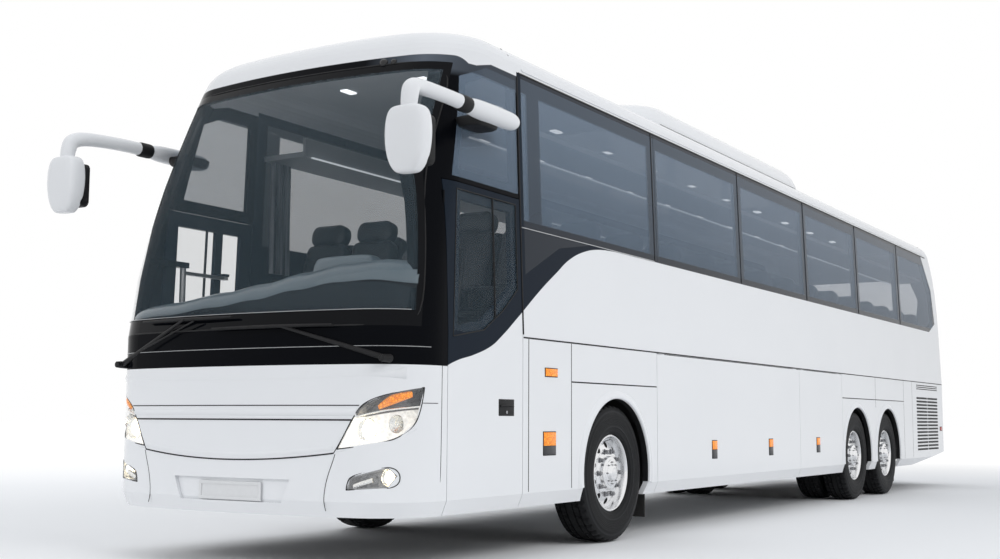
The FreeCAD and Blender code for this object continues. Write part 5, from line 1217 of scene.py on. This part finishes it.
cushion = foam((0.006, 0.02, 0.0), (SEAT_W - 0.006, 0.44, 0.125), 0.018, 0.05)
channels(cushion, 1, (0.13, 0.23, 0.33), 0.007)
channels(cushion, 0, (0.07, SEAT_W - 0.07), 0.008)
laid(cushion, 0.0, (0, 0, 0.315))
back = foam((0.008, 0.0, 0.0), (SEAT_W - 0.008, 0.545, 0.10), 0.012, 0.07)
channels(back, 1, (0.10, 0.19, 0.28, 0.37), 0.007)
channels(back, 0, (0.075, SEAT_W - 0.075), 0.009)
laid(back, math.radians(72), (0, 0.475, 0.415))
headrest = foam((0.045, 0.0, 0.0), (SEAT_W - 0.045, 0.185, 0.10), 0.010, 0.075)
laid(headrest, math.radians(80), (0, 0.632, 0.905))
shell = moulded("shell", ((0.36, SEAT_W - 0.05, 0.05), (0.40, SEAT_W - 0.02, 0.055),
                          (0.70, SEAT_W - 0.02, 0.045), (0.92, SEAT_W - 0.04, 0.040),
                          (0.945, SEAT_W - 0.10, 0.026)), SEAT_W / 2, 0.44, 1)
lean_back = Matrix.Identity(4)
lean_back[1][2] = 0.31
shell.data.transform(Matrix.Translation((0, -0.045, 0)) @ lean_back)
posts = [rod("post", (x, 0.60, 0.90), (x, 0.603, 0.96), 0.007) for x in (0.16, SEAT_W - 0.16)]
for part in (cushion, back, headrest):
    deselect()
    bpy.context.view_layer.objects.active = part
    part.select_set(True)
    bpy.ops.object.shade_smooth_by_angle(angle=math.radians(60))
    part.data.materials.clear()
    part.data.materials.append(leather)
shell.data.materials.append(dark_plastic)
for post in posts:
    post.data.materials.append(chrome)
pads = joined("pads", [cushion, back, headrest])
hard = joined("hard", [shell] + posts)
for side, sign in (("left", 1), ("right", -1)):
    soft, frames = [], []
    for row in range(ROWS):
        y = FIRST_ROW + row * PITCH
        for place_number in (0, 1):
            inner = SEAT_X + place_number * (SEAT_W + SEAT_SPACE)
            x = inner if sign > 0 else -inner - SEAT_W
            soft.append(copied(pads, "pads", (x, y, DECK_Z)))
            frames.append(copied(hard, "hard", (x, y, DECK_Z)))
        far = SEAT_X + 2 * SEAT_W + SEAT_SPACE
        a, b = sorted((sign * SEAT_X, sign * far))
        beam = block("beam", (a + 0.002, y + 0.11, DECK_Z + 0.252),
                     (b - 0.002, y + 0.39, DECK_Z + 0.298), 0.008)
        leg_a, leg_b = sorted((sign * (SEAT_X + 0.065), sign * (SEAT_X + 0.115)))
        leg = block("leg", (leg_a, y + 0.13, DECK_Z + 0.001),
                    (leg_b, y + 0.37, DECK_Z + 0.252), 0.01)
        for part in (beam, leg):
            part.data.materials.append(dark_plastic)
            frames.append(part)
        for x in (SEAT_X + 0.012, far - 0.012):
            arm = block("armrest", (sign * x - 0.011, y + 0.12, DECK_Z + 0.585),
                        (sign * x + 0.011, y + 0.43, DECK_Z + 0.625), 0.009, 3)
            arm.data.materials.append(dark_plastic)
            frames.append(arm)
    piece = dress(joined(f"seat_pads_{side}", soft), None, "body", "seat_leather", "seats")
    dress(joined(f"seat_frames_{side}", frames), None, "body", "dashboard")
cab_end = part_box("deck_riser")[0].y
driver_points = [v.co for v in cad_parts["seats"].data.vertices if v.co.y < cab_end]
driver_low, driver_high = (Vector(pick(p[i] for p in driver_points) for i in range(3))
                           for pick in (min, max))
middle_x = (driver_low.x + driver_high.x) / 2
wide = copied(pads, "driver_pads")
wide.data.transform(Matrix.Translation((middle_x - 0.245, driver_low.y, CAB_Z + 0.08))
                    @ Matrix.Scale(1.09, 4, (1, 0, 0)) @ Matrix.Scale(1.21, 4, (0, 0, 1)))
driver_frame = copied(hard, "driver_frame")
driver_frame.data.transform(Matrix.Translation((middle_x - 0.245, driver_low.y, CAB_Z + 0.08))
                            @ Matrix.Scale(1.09, 4, (1, 0, 0)) @ Matrix.Scale(1.21, 4, (0, 0, 1)))
dress(wide, None, "body", "seat_leather", "seats").name = "driver_seat_pads"
plinth = moulded("plinth", ((CAB_Z + 0.002, 0.30, 0.30), (CAB_Z + 0.03, 0.31, 0.31),
                            (CAB_Z + 0.20, 0.26, 0.27), (CAB_Z + 0.42, 0.31, 0.31),
                            (CAB_Z + 0.445, 0.30, 0.30)), middle_x, driver_low.y + 0.24, 2)
plinth.data.materials.append(dark_plastic)
dress(joined("driver_seat_base", [driver_frame, plinth]), None, "body", "dashboard")
for piece in (pads, hard):
    bpy.data.objects.remove(piece)

# ---------------------------------------------------------------- curtains
# Grey pleated curtains at the front pillars, gathered on a rail under each luggage rack.
curtain_cloth, place = finish("curtain_cloth", Sheen_Weight=0.3, Sheen_Roughness=0.5)
weave = place.noise(900.0, 1.0, (1, 1, 0.3))
drive(curtain_cloth, bump=(weave, 0.00015), Roughness=weave * 0.1 + 0.75,
      Base_Color=place.noise(26.0, 2.0, (0.3, 1.6, 0.05)).node(
          "MapRange", {}, {0: place.noise(26.0, 2.0, (0.3, 1.6, 0.05)), 1: 0.35, 2: 0.65}).paint(
          (0.045, 0.047, 0.052, 1), (0.36, 0.365, 0.385, 1)))
curtain_low, curtain_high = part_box("curtains")
TOP, FOOT = curtain_high.z - 0.004, curtain_low.z + 0.012
START, END, PLEATS, DEPTH = curtain_low.y + 0.012, curtain_high.y - 0.012, 8, 0.019
COLUMNS, LENGTHS = PLEATS * 10, 30
for side, sign in (("left", 1), ("right", -1)):
    deselect()
    bpy.ops.mesh.primitive_grid_add(x_subdivisions=COLUMNS, y_subdivisions=LENGTHS, size=1)
    cloth = bpy.context.object
    inner = curtain_high.x - 0.030
    for vertex in cloth.data.vertices:
        along, drop = vertex.co.x + 0.5, 0.5 - vertex.co.y
        wave = math.tau * PLEATS * along
        fall = 0.7 + 0.3 * drop
        fold = math.sin(wave + 0.35 * math.sin(3.1 * drop)) * DEPTH * fall
        y = START + (END - START) * along + math.cos(wave) * 0.003 * fall
        vertex.co = (sign * (inner + fold), y, TOP - (TOP - FOOT) * drop)
    edge = [cloth.data.vertices[i].co for i in range(COLUMNS + 1)]
    thick = cloth.modifiers.new("thick", "SOLIDIFY")
    thick.thickness, thick.offset = 0.0012, 0
    bpy.context.view_layer.objects.active = cloth
    cloth.select_set(True)
    bpy.ops.object.modifier_apply(modifier=thick.name)
    settle(f"curtain_{side}", 70)
    dress(cloth, curtain_cloth, "body", "curtain_cloth", "curtains")

# ---------------------------------------------------------------- dashboard and steering wheel
# Soft moulded dashboard whose top and roll are painted blue-grey for the sheen they catch, above
# a dark front, with an instrument hood before the driver; the steering wheel is bound in leather.
# painted sheen: the blue-grey of the top and roll stands in for the sheen they catch; the upright front
# is dark plastic
skin_painted_sheen, place = finish("dashboard_skin_painted_sheen", Coat_Weight=0.6, Coat_Roughness=0.16)
pores = place.noise(800.0)
drive(skin_painted_sheen, bump=(pores, 0.0003), Roughness=place.noise(6.0, 3.0) * 0.12 + 0.30,
      Base_Color=place.noise(4.0, 4.0).paint((0.075, 0.105, 0.125, 1), (0.125, 0.165, 0.19, 1)))
hard_skin, place = finish("dashboard_front", Specular_IOR_Level=0.1)
drive(hard_skin, bump=(place.noise(800.0), 0.0003), Roughness=place.noise(9.0) * 0.1 + 0.42,
      Base_Color=place.noise(5.0).paint((0.010, 0.011, 0.013, 1), (0.018, 0.020, 0.023, 1)))
give(leather, "steering_wheel")
SKYLINE = ((-1.2, 1.675), (-0.7, 1.70), (-0.2, 1.745), (0.13, 1.785), (0.45, 1.84), (0.75, 1.885),
           (1.0, 1.90), (1.2, 1.885))
dash_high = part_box("dashboard")[1]


def skyline(x):
    """Height of the dashboard's top across the coach."""
    for (x0, z0), (x1, z1) in zip(SKYLINE, SKYLINE[1:]):
        if x <= x1:
            share = max(0.0, (x - x0) / (x1 - x0))
            return z0 + (z1 - z0) * share * share * (3 - 2 * share)
    return SKYLINE[-1][1]


wheel_low, wheel_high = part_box("steering_wheel")
column = (wheel_low + wheel_high) / 2
ACROSS, AROUND = 56, 24
deselect()
bpy.ops.mesh.primitive_grid_add(x_subdivisions=ACROSS, y_subdivisions=AROUND, size=1)
dash = bpy.context.object
reach = dash_high.x - 0.012
for vertex in dash.data.vertices:
    x, share = vertex.co.x * 2 * reach, vertex.co.y + 0.5
    top = skyline(x)
    front = front_y(x, 1.56) + 0.060
    drop = 0.085 + 0.055 * (x / reach + 1) / 2                     # height of the soft roll
    deep = (0.24 - 0.15 * max(0.0, 1 - ((x - column.x) / 0.42) ** 2)     # room for the steering
            - 0.20 * min(1.0, max(0.0, (-0.8 - x) / 0.3)))               # wheel and the door arm
    if share < 0.25:                                               # upright front
        y, z = front + 0.012 * (1 - share / 0.25), 1.50 + (top - drop - 1.50) * share / 0.25
    elif share < 0.6:                                              # soft roll
        turn = (share - 0.25) / 0.35 * math.pi / 2
        y, z = front - 0.014 + (1 - math.cos(turn)) * 0.15, top - drop + math.sin(turn) * drop
    elif share < 0.85:                                             # top
        y, z = front + 0.136 + (share - 0.6) / 0.25 * deep, top - 0.03 * ((share - 0.6) / 0.25) ** 2
    else:                                                          # down to the cab
        y = front + 0.136 + deep + 0.02 * (share - 0.85) / 0.15
        z = top - 0.03 - (share - 0.85) / 0.15 * 0.38
    vertex.co = (x, y, z)
wall = dash.modifiers.new("wall", "SOLIDIFY")
wall.thickness, wall.offset = 0.006, 0
bpy.context.view_layer.objects.active = dash
dash.select_set(True)
bpy.ops.object.modifier_apply(modifier=wall.name)
settle("dashboard_cover", 55)
dash.data.materials.append(skin_painted_sheen)
dash.data.materials.append(hard_skin)
# faces above the roll's foot take the painted-sheen skin, those below it the dark front
for face in dash.data.polygons:
    x, z = face.center.x, face.center.z
    face.material_index = int(z < skyline(x) - 0.085 - 0.055 * (x / reach + 1) / 2)
dress(dash, None, "body", "dashboard", "dashboard")
hood = moulded("instrument_hood", ((1.80, 0.48, 0.20), (1.86, 0.50, 0.20), (1.935, 0.46, 0.16),
                                   (1.95, 0.38, 0.10)), column.x, front_y(column.x, 1.56) + 0.30, 2)
dress(hood, skin_painted_sheen, "body", "dashboard")

# ---------------------------------------------------------------- windscreen seals and sensors
# Rubber line round the glass, a thin bright bead along its foot and over the black panel, and
# two domed sensors on the header.
mirror_black, place = finish("sensor_glass", Roughness=0.06)
drive(mirror_black, Base_Color=place.noise(50.0).paint((0.004, 0.004, 0.005, 1),
                                                       (0.012, 0.012, 0.014, 1)))
bead, place = finish("bright_bead", Metallic=0.6)
drive(bead, Roughness=place.noise(60.0) * 0.1 + 0.25,
      Base_Color=place.noise(40.0).paint((0.35, 0.36, 0.37, 1), (0.55, 0.56, 0.57, 1)))


def pillar_x(y, z):
    """x of the body's front corner at a y and a height."""
    rise = max(0.0, (z - 1.473) / 1.887)
    middle = HALF - 0.065 * rise - CORNER
    turn = FRONT + 0.62 * rise ** 1.55 + BOW - math.sqrt((BOW - CORNER) ** 2 - middle ** 2)
    return middle + math.sqrt(max(CORNER ** 2 - (turn - y) ** 2, 0.0))


screen_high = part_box("windscreen")[1]
EDGE_YZ = ((-6.565, 1.50), (-6.50, 1.95), (-6.44, 2.45), (-6.27, 2.85), (-6.115, 3.18))
head_z = screen_high.z - 0.002
loop = [(x, front_y(x, head_z) - 0.001, head_z) for x in spread(-0.98, 0.98, 15)]
down = [(pillar_x(y, z) + 0.001, y, z) for y, z in reversed(EDGE_YZ)]
foot_line = [(x, front_y(x, 1.49) - 0.001, 1.486) for x in spread(1.10, -1.10, 15)]
up = [(-pillar_x(y, z) - 0.001, y, z) for y, z in EDGE_YZ]
dress(tube("windscreen_gasket", loop + down + foot_line + up, 0.0055, cyclic=True), seal, "body",
      "black_trim")
front_line("windscreen_bead", [(x, 1.583) for x in spread(-1.20, 1.20, 91)], 0.0024, bead, 0.0005)
front_line("panel_bead", [(x, 1.360) for x in spread(-1.262, 1.262, 131)], 0.0022, bead, 0.0005)
for number, (x, radius) in enumerate(((0.70, 0.027), (0.775, 0.019)), 1):
    dome = lathe("dome", ((0.01, radius * 1.15), (0.0, radius * 1.15), (-0.006, radius),
                          (-radius * 0.5, radius * 0.86), (-radius * 0.8, radius * 0.5),
                          (-radius * 0.92, 0.0)), 28, closed=False)
    dome.data.transform(Matrix.Translation((x, front_y(x, 3.262), 3.262))
                        @ Matrix.Rotation(math.pi / 2, 4, "Z"))
    dress(dome, mirror_black, "body", "black_trim").name = f"header_sensor_{number}"

# ---------------------------------------------------------------- ceiling and light strips
# Moulded white ceiling with pairs of lamps over the aisle and a long light strip under each
# rack.
lining, place = finish("ceiling_lining", Roughness=0.7)
drive(lining, bump=(place.noise(500.0), 0.0002),
      Base_Color=place.noise(2.0).paint((0.55, 0.56, 0.575, 1), (0.62, 0.63, 0.64, 1)))
white_light, place = finish("white_light", Emission_Strength=1.3, Roughness=0.4)
spread_out = place.noise(25.0)
soft_light, far_place = finish("strip_light", Emission_Strength=0.45, Roughness=0.5)
drive(soft_light, Base_Color=far_place.noise(25.0).paint((0.6, 0.62, 0.64, 1), (0.7, 0.72, 0.74, 1)),
      Emission_Color=far_place.noise(8.0).paint((0.75, 0.8, 0.85, 1), (0.9, 0.95, 1.0, 1)))
drive(white_light, Base_Color=spread_out.paint((0.9, 0.92, 0.95, 1), (1, 1, 1, 1)),
      Emission_Color=spread_out.paint((0.85, 0.9, 0.95, 1), (1.0, 1.0, 1.0, 1)))
CEILING_Z, CABIN_FRONT = 3.43, DOOR_REAR - 0.30
rack_low, rack_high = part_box("luggage_racks")
sheet_top = block("ceiling", (-0.74, CABIN_FRONT, CEILING_Z),
                  (0.74, rack_high.y, CEILING_Z + 0.02), 0.006)
dress(sheet_top, lining, "body", "cabin_trim")
lights = []
for x in (-0.36, 0.36):
    for number in range(12):
        y = CABIN_FRONT + 0.35 + number * 1.0
        lights.append(block("light", (x - 0.032, y, CEILING_Z - 0.012),
                            (x + 0.032, y + 0.13, CEILING_Z + 0.002), 0.005))
dress(joined("cabin_lights", lights), white_light, "body", "cabin_trim")
strips = []
for sign in (1, -1):
    a, b = sorted((sign * (rack_high.x - 0.455), sign * (rack_high.x - 0.435)))
    strips.append(block("light", (a, rack_low.y + 0.05, rack_low.z - 0.012),
                        (b, rack_high.y - 0.1, rack_low.z - 0.0005), 0.003))
dress(joined("rack_strips", strips), soft_light, "body", "cabin_trim")

# ---------------------------------------------------------------- rear of the coach
# Lamp clusters with moulded lenses in three colours, a vented engine lid with a blank plate
# under it, a rubber section round the rear pane and a high stop lamp over it.
DOWN, AHEAD_DIR = Vector((0, 0, -1)), Vector((0, -1, 0))


def surface(start, way, *nodes):
    """First place that a line from start meets any of these CAD nodes, or just beside a gap."""
    for aside in (0.0, 0.005, -0.005, 0.010, -0.010, 0.016, -0.016):
        begin = Vector(start) + Vector((aside, aside, aside))
        found = []
        for node in nodes:
            hit, place, _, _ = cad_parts[node].ray_cast(begin, way)
            if hit:
                found.append(((place - begin).length, place))
        if found:
            return min(found, key=lambda pair: pair[0])[1]


def rear_y(x, z):
    return surface((x, REAR + 1, z), AHEAD_DIR, "rear_wall", "engine_lid", "tail_lamps",
                   "rear_window").y


def rear_line(name, places, radius, material, out=0.0, cyclic=False, body="body"):
    route = [(x, rear_y(x, z) + out, z) for x, z in places]
    return dress(tube(name, route, radius, smooth=False, cyclic=cyclic, sides=4), material, body,
                 "black_trim")


tail_lens, place = finish("tail_lens", Roughness=0.1, Emission_Strength=0.12)
flutes = place.node("TexVoronoi", {"feature": "DISTANCE_TO_EDGE"}, {"Vector": place, "Scale": 60})
depth = flutes.maths("MULTIPLY", 3.0, clamp=True)
height = place.axis(2)
ruby = depth.paint((0.28, 0.004, 0.004, 1), (0.60, 0.014, 0.010, 1))
orange = depth.paint((0.55, 0.13, 0.003, 1), (0.85, 0.30, 0.01, 1))
clear = depth.paint((0.50, 0.50, 0.50, 1), (0.80, 0.80, 0.80, 1))
tone = height.between(1.055, 1.205).paint(ruby, orange)
tone = height.between(0.905, 1.050).paint(tone, clear)
joint = height.between(1.050, 1.056).maths("MAXIMUM", height.between(0.900, 0.906))
joint = joint.maths("MAXIMUM", height.between(1.203, 1.209))
drive(tail_lens, bump=(flutes, 0.0015), Base_Color=joint.paint(tone, BLACK),
      Emission_Color=joint.paint(tone, BLACK))
give(tail_lens, "tail_lamps")
lid_low, lid_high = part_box("engine_lid")
lamp_low, lamp_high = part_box("tail_lamps")
for side, sign in (("left", 1), ("right", -1)):
    inner, outer = HALF - 0.292, HALF - 0.083
    rim = [(sign * x, z) for x, z in ((inner, lamp_low.z), (outer, lamp_low.z), (outer, lamp_high.z),
                                      (inner, lamp_high.z))]
    rear_line(f"tail_lamp_gasket_{side}", rim, 0.0045, seal, 0.0005, True)
    rear_line(f"rear_bumper_seam_{side}", [(sign * x, lid_low.z) for x in
                                           (lid_high.x + 0.004, 0.95, 1.0, 1.05, 1.1, 1.15)], SEAM, seal)
    low = rear_y(sign * 1.0, 0.565)
    reflector = block("reflector", (sign * 1.0 - 0.06, low - 0.004, 0.545),
                      (sign * 1.0 + 0.06, low + 0.007, 0.585), 0.0025, 3)
    dress(reflector, red, "body", "tail_lens").name = f"bumper_reflector_{side}"
slats, gaps = [], []
for column in (-1, 0, 1):
    for row in range(11):
        x, z = column * 0.44, 0.74 + row * 0.045
        y = rear_y(x, z)
        gaps.append(block("gap", (x - 0.20, y - 0.004, z), (x + 0.20, y + 0.0012, z + 0.022),
                          0.0008, 1))
        slats.append(block("slat", (x - 0.205, y - 0.003, z + 0.021), (x + 0.205, y + 0.006, z + 0.029),
                           0.0025, 1))
dress(joined("engine_lid_vents", gaps), seal, "engine_lid", "black_trim")
dress(joined("engine_lid_louvres", slats), plain_enamel, "engine_lid", "body_paint")
handle_y = rear_y(0, 1.34)
grip = block("grip", (-0.10, handle_y - 0.004, 1.325), (0.10, handle_y + 0.012, 1.358), 0.006, 3)
dress(grip, seal, "engine_lid", "black_trim").name = "engine_lid_handle"
plate("rear_plate", rear_y(0, 0.565) + 0.003, 0.565, 1)
PANE = ((0.957, 2.404), (1.012, 2.76), (0.90, 3.122))
rim = [*PANE, *[(-x, z) for x, z in reversed(PANE)]]
rear_line("rear_window_rubber", rim, 0.0055, seal, 0.0005, True)
stop_y = rear_y(0, 3.215)
stop = block("stop", (-0.20, stop_y - 0.012, 3.20), (0.20, stop_y + 0.008, 3.228), 0.004, 3)
dress(stop, red, "body", "tail_lens").name = "high_stop_lamp"
for number, x in enumerate((-0.62, 0.62), 1):
    y = rear_y(x, 3.215)
    lamp_piece = block("lamp", (x - 0.05, y - 0.012, 3.20), (x + 0.05, y + 0.008, 3.228), 0.004, 3)
    dress(lamp_piece, red, "body", "tail_lens").name = f"rear_outline_lamp_{number}"

# ---------------------------------------------------------------- roof
# Pressed roof skin with rubber-sealed joints at both end caps, drip rails along the edges, two
# escape hatches and the cowl, fans and guards of the air conditioner.
ROOF = ("roof_panel", "roof_caps", "roof_edges", "windscreen_frame", "side_walls")


def roof_z(x, y):
    return surface((x, y, 5.0), DOWN, *ROOF).z


for name, y in (("front", -5.49), ("rear", 6.36)):
    route = [(x, y, roof_z(x, y) - 0.001) for x in spread(-1.19, 1.19, 41)]
    dress(tube(f"roof_joint_{name}", route, 0.004, smooth=False), seal, "body", "black_trim")
for side, sign in (("left", 1), ("right", -1)):
    x = HALF - 0.0665
    rail = [(sign * x, y, 3.362) for y in spread(-5.35, 6.30, 12)]
    dress(tube(f"drip_rail_{side}", rail, 0.009, smooth=False, sides=4), plain_enamel, "body",
          "body_paint")
for number, y in enumerate((-4.35, 3.85), 1):
    z = roof_z(0, y)
    frame_piece = block("hatch_frame", (-0.40, y - 0.34, z - 0.03),
                        (0.40, y + 0.34, z + 0.014), 0.012, 3)
    dress(frame_piece, seal, "body", "black_trim").name = f"hatch_frame_{number}"
    lid = block("hatch", (-0.375, y - 0.315, z + 0.010), (0.375, y + 0.315, z + 0.045), 0.02, 4)
    dress(lid, plain_enamel, "body", "body_paint").name = f"hatch_{number}"
COWL = ((3.42, 2.17, 4.50), (3.52, 2.17, 4.50), (3.57, 2.155, 4.46), (3.62, 2.12, 4.37),
        (3.665, 2.07, 4.24), (3.70, 2.00, 4.06), (3.727, 1.92, 3.86), (3.744, 1.83, 3.65),
        (3.753, 1.74, 3.45), (3.757, 1.62, 3.2))
COWL_Y, COWL_TOP = -0.90, 3.757
cowl = moulded("cooler_cowl", COWL, 0, COWL_Y, 0, 10)
dress(cowl, plain_enamel, "body", "body_paint", "air_conditioner")
for side, sign in (("left", 1), ("right", -1)):
    foot = [(sign * 1.089, y, roof_z(sign * 1.089, y) + 0.004) for y in spread(-2.72, 0.92, 30)]
    dress(tube(f"cowl_foot_{side}", foot, 0.011, smooth=False), seal, "body", "black_trim")
rings, guards, wells = [], [], []
for number in range(5):
    y, z = COWL_Y + (number - 2) * 0.56, COWL_TOP
    ring = lathe("ring", ((-0.006, 0.205), (0.010, 0.205), (0.018, 0.212), (0.018, 0.226),
                          (0.006, 0.236), (-0.006, 0.236)), 48)
    ring.data.transform(Matrix.Translation((0, y, z)) @ Matrix.Rotation(-math.pi / 2, 4, "Y"))
    rings.append(ring)
    well = lathe("well", ((0.0, 0.206), (0.003, 0.19), (0.001, 0.06), (0.008, 0.055), (0.010, 0.0)), 40,
                 closed=False)
    well.data.transform(Matrix.Translation((0, y, z)) @ Matrix.Rotation(-math.pi / 2, 4, "Y"))
    wells.append(well)
    for radius in (0.075, 0.11, 0.145, 0.18):
        hoop = [(radius * math.cos(a), y + radius * math.sin(a), z + 0.013)
                for a in [math.tau * i / 24 for i in range(24)]]
        guards.append(tube("hoop", hoop, 0.0022, cyclic=True, smooth=False, sides=1))
    for i in range(6):
        a = math.tau * i / 6
        guards.append(tube("spoke", [(0.05 * math.cos(a), y + 0.05 * math.sin(a), z + 0.013),
                                     (0.206 * math.cos(a), y + 0.206 * math.sin(a), z + 0.013)],
                           0.003, smooth=False, sides=1))
dress(joined("cooler_fan_rings", rings), plain_enamel, "body", "body_paint")
dress(joined("cooler_fan_wells", wells), seal, "body", "black_trim")
dress(joined("cooler_fan_guards", guards), brushed_steel, "body", "bare_metal")

# ---------------------------------------------------------------- studio
# A pale floor and an even white surround, one broad lamp over each side and one ahead.
PALE = (0.93, 0.935, 0.94, 1)

bpy.ops.mesh.primitive_plane_add(size=400, location=(0, 0, 0))
floor = bpy.context.object
floor.name = "floor"
floor_paint, place = finish("floor_paint", Roughness=0.9, Specular_IOR_Level=0.1,
                            Emission_Strength=1.0)
reach = (place.axis(0) * place.axis(0) + place.axis(1) * place.axis(1)).maths("SQRT")
far = ((reach - 9.0) / 9.0).maths("ADD", 0.0, clamp=True)
rays = [place.node("LightPath", {}, {}, number) for number in (0, 3, 6)]
seen = rays[0].maths("MAXIMUM", rays[1]).maths("MAXIMUM", rays[2])
drive(floor_paint, Base_Color=far.paint(PALE, (0, 0, 0, 1)),
      Emission_Color=(far * seen).paint((0, 0, 0, 1), (1, 1, 1, 1)))
floor.data.materials.append(floor_paint)

world = bpy.data.worlds.new("surround")
bpy.context.scene.world = world
world.use_nodes = True
back = world.node_tree.nodes["Background"]
seen = Socket(world.node_tree, None)
rays = [seen.node("LightPath", {}, {}, number) for number in (0, 3, 6)]
plain = rays[0].maths("MAXIMUM", rays[1]).maths("MAXIMUM", rays[2])
world.node_tree.links.new(plain.paint((0.62, 0.64, 0.67, 1), (1, 1, 1, 1)).link,
                          back.inputs["Color"])
back.inputs["Strength"].default_value = 1.0


def lamp(name, place, aim, size, power):
    bpy.ops.object.light_add(type="AREA", location=place)
    light = bpy.context.object
    light.name = name
    light.data.shape = "RECTANGLE"
    light.data.size, light.data.size_y = size
    light.data.energy = power
    light.visible_glossy = False
    light.rotation_euler = (Vector(aim) - Vector(place)).to_track_quat("-Z", "Y").to_euler()


lamp("lamp_left", (16, -6, 12), (0, 0, 1.5), (14, 8), 1150)
lamp("lamp_front", (-6, -20, 9), (0, -5, 1.5), (10, 6), 620)
lamp("lamp_right", (-16, 4, 12), (0, 0, 1.5), (14, 8), 800)

# ---------------------------------------------------------------- camera
# Low beside the left front corner, looking back along the coach.
CAMERA_AT = (5.677, -12.913, 0.923)
AZIMUTH, PITCH, ROLL = math.radians(31.47), math.radians(6.25), math.radians(0.3)
LENS = 46.1

bpy.ops.object.camera_add(location=CAMERA_AT)
camera = bpy.context.object
camera.data.lens = LENS
camera.data.sensor_width = 36
camera.data.clip_end = 500
ahead = Vector((-math.sin(AZIMUTH) * math.cos(PITCH), math.cos(AZIMUTH) * math.cos(PITCH),
                math.sin(PITCH)))
across = Vector((math.cos(AZIMUTH), math.sin(AZIMUTH), 0))
upward = across.cross(ahead)
turned_x = across * math.cos(ROLL) + upward * math.sin(ROLL)
turned_y = upward * math.cos(ROLL) - across * math.sin(ROLL)
camera.matrix_world = Matrix.Translation(CAMERA_AT) @ Matrix(
    (turned_x, turned_y, -ahead)).transposed().to_4x4()
bpy.context.scene.camera = camera
bpy.context.scene.view_settings.view_transform = "Standard"
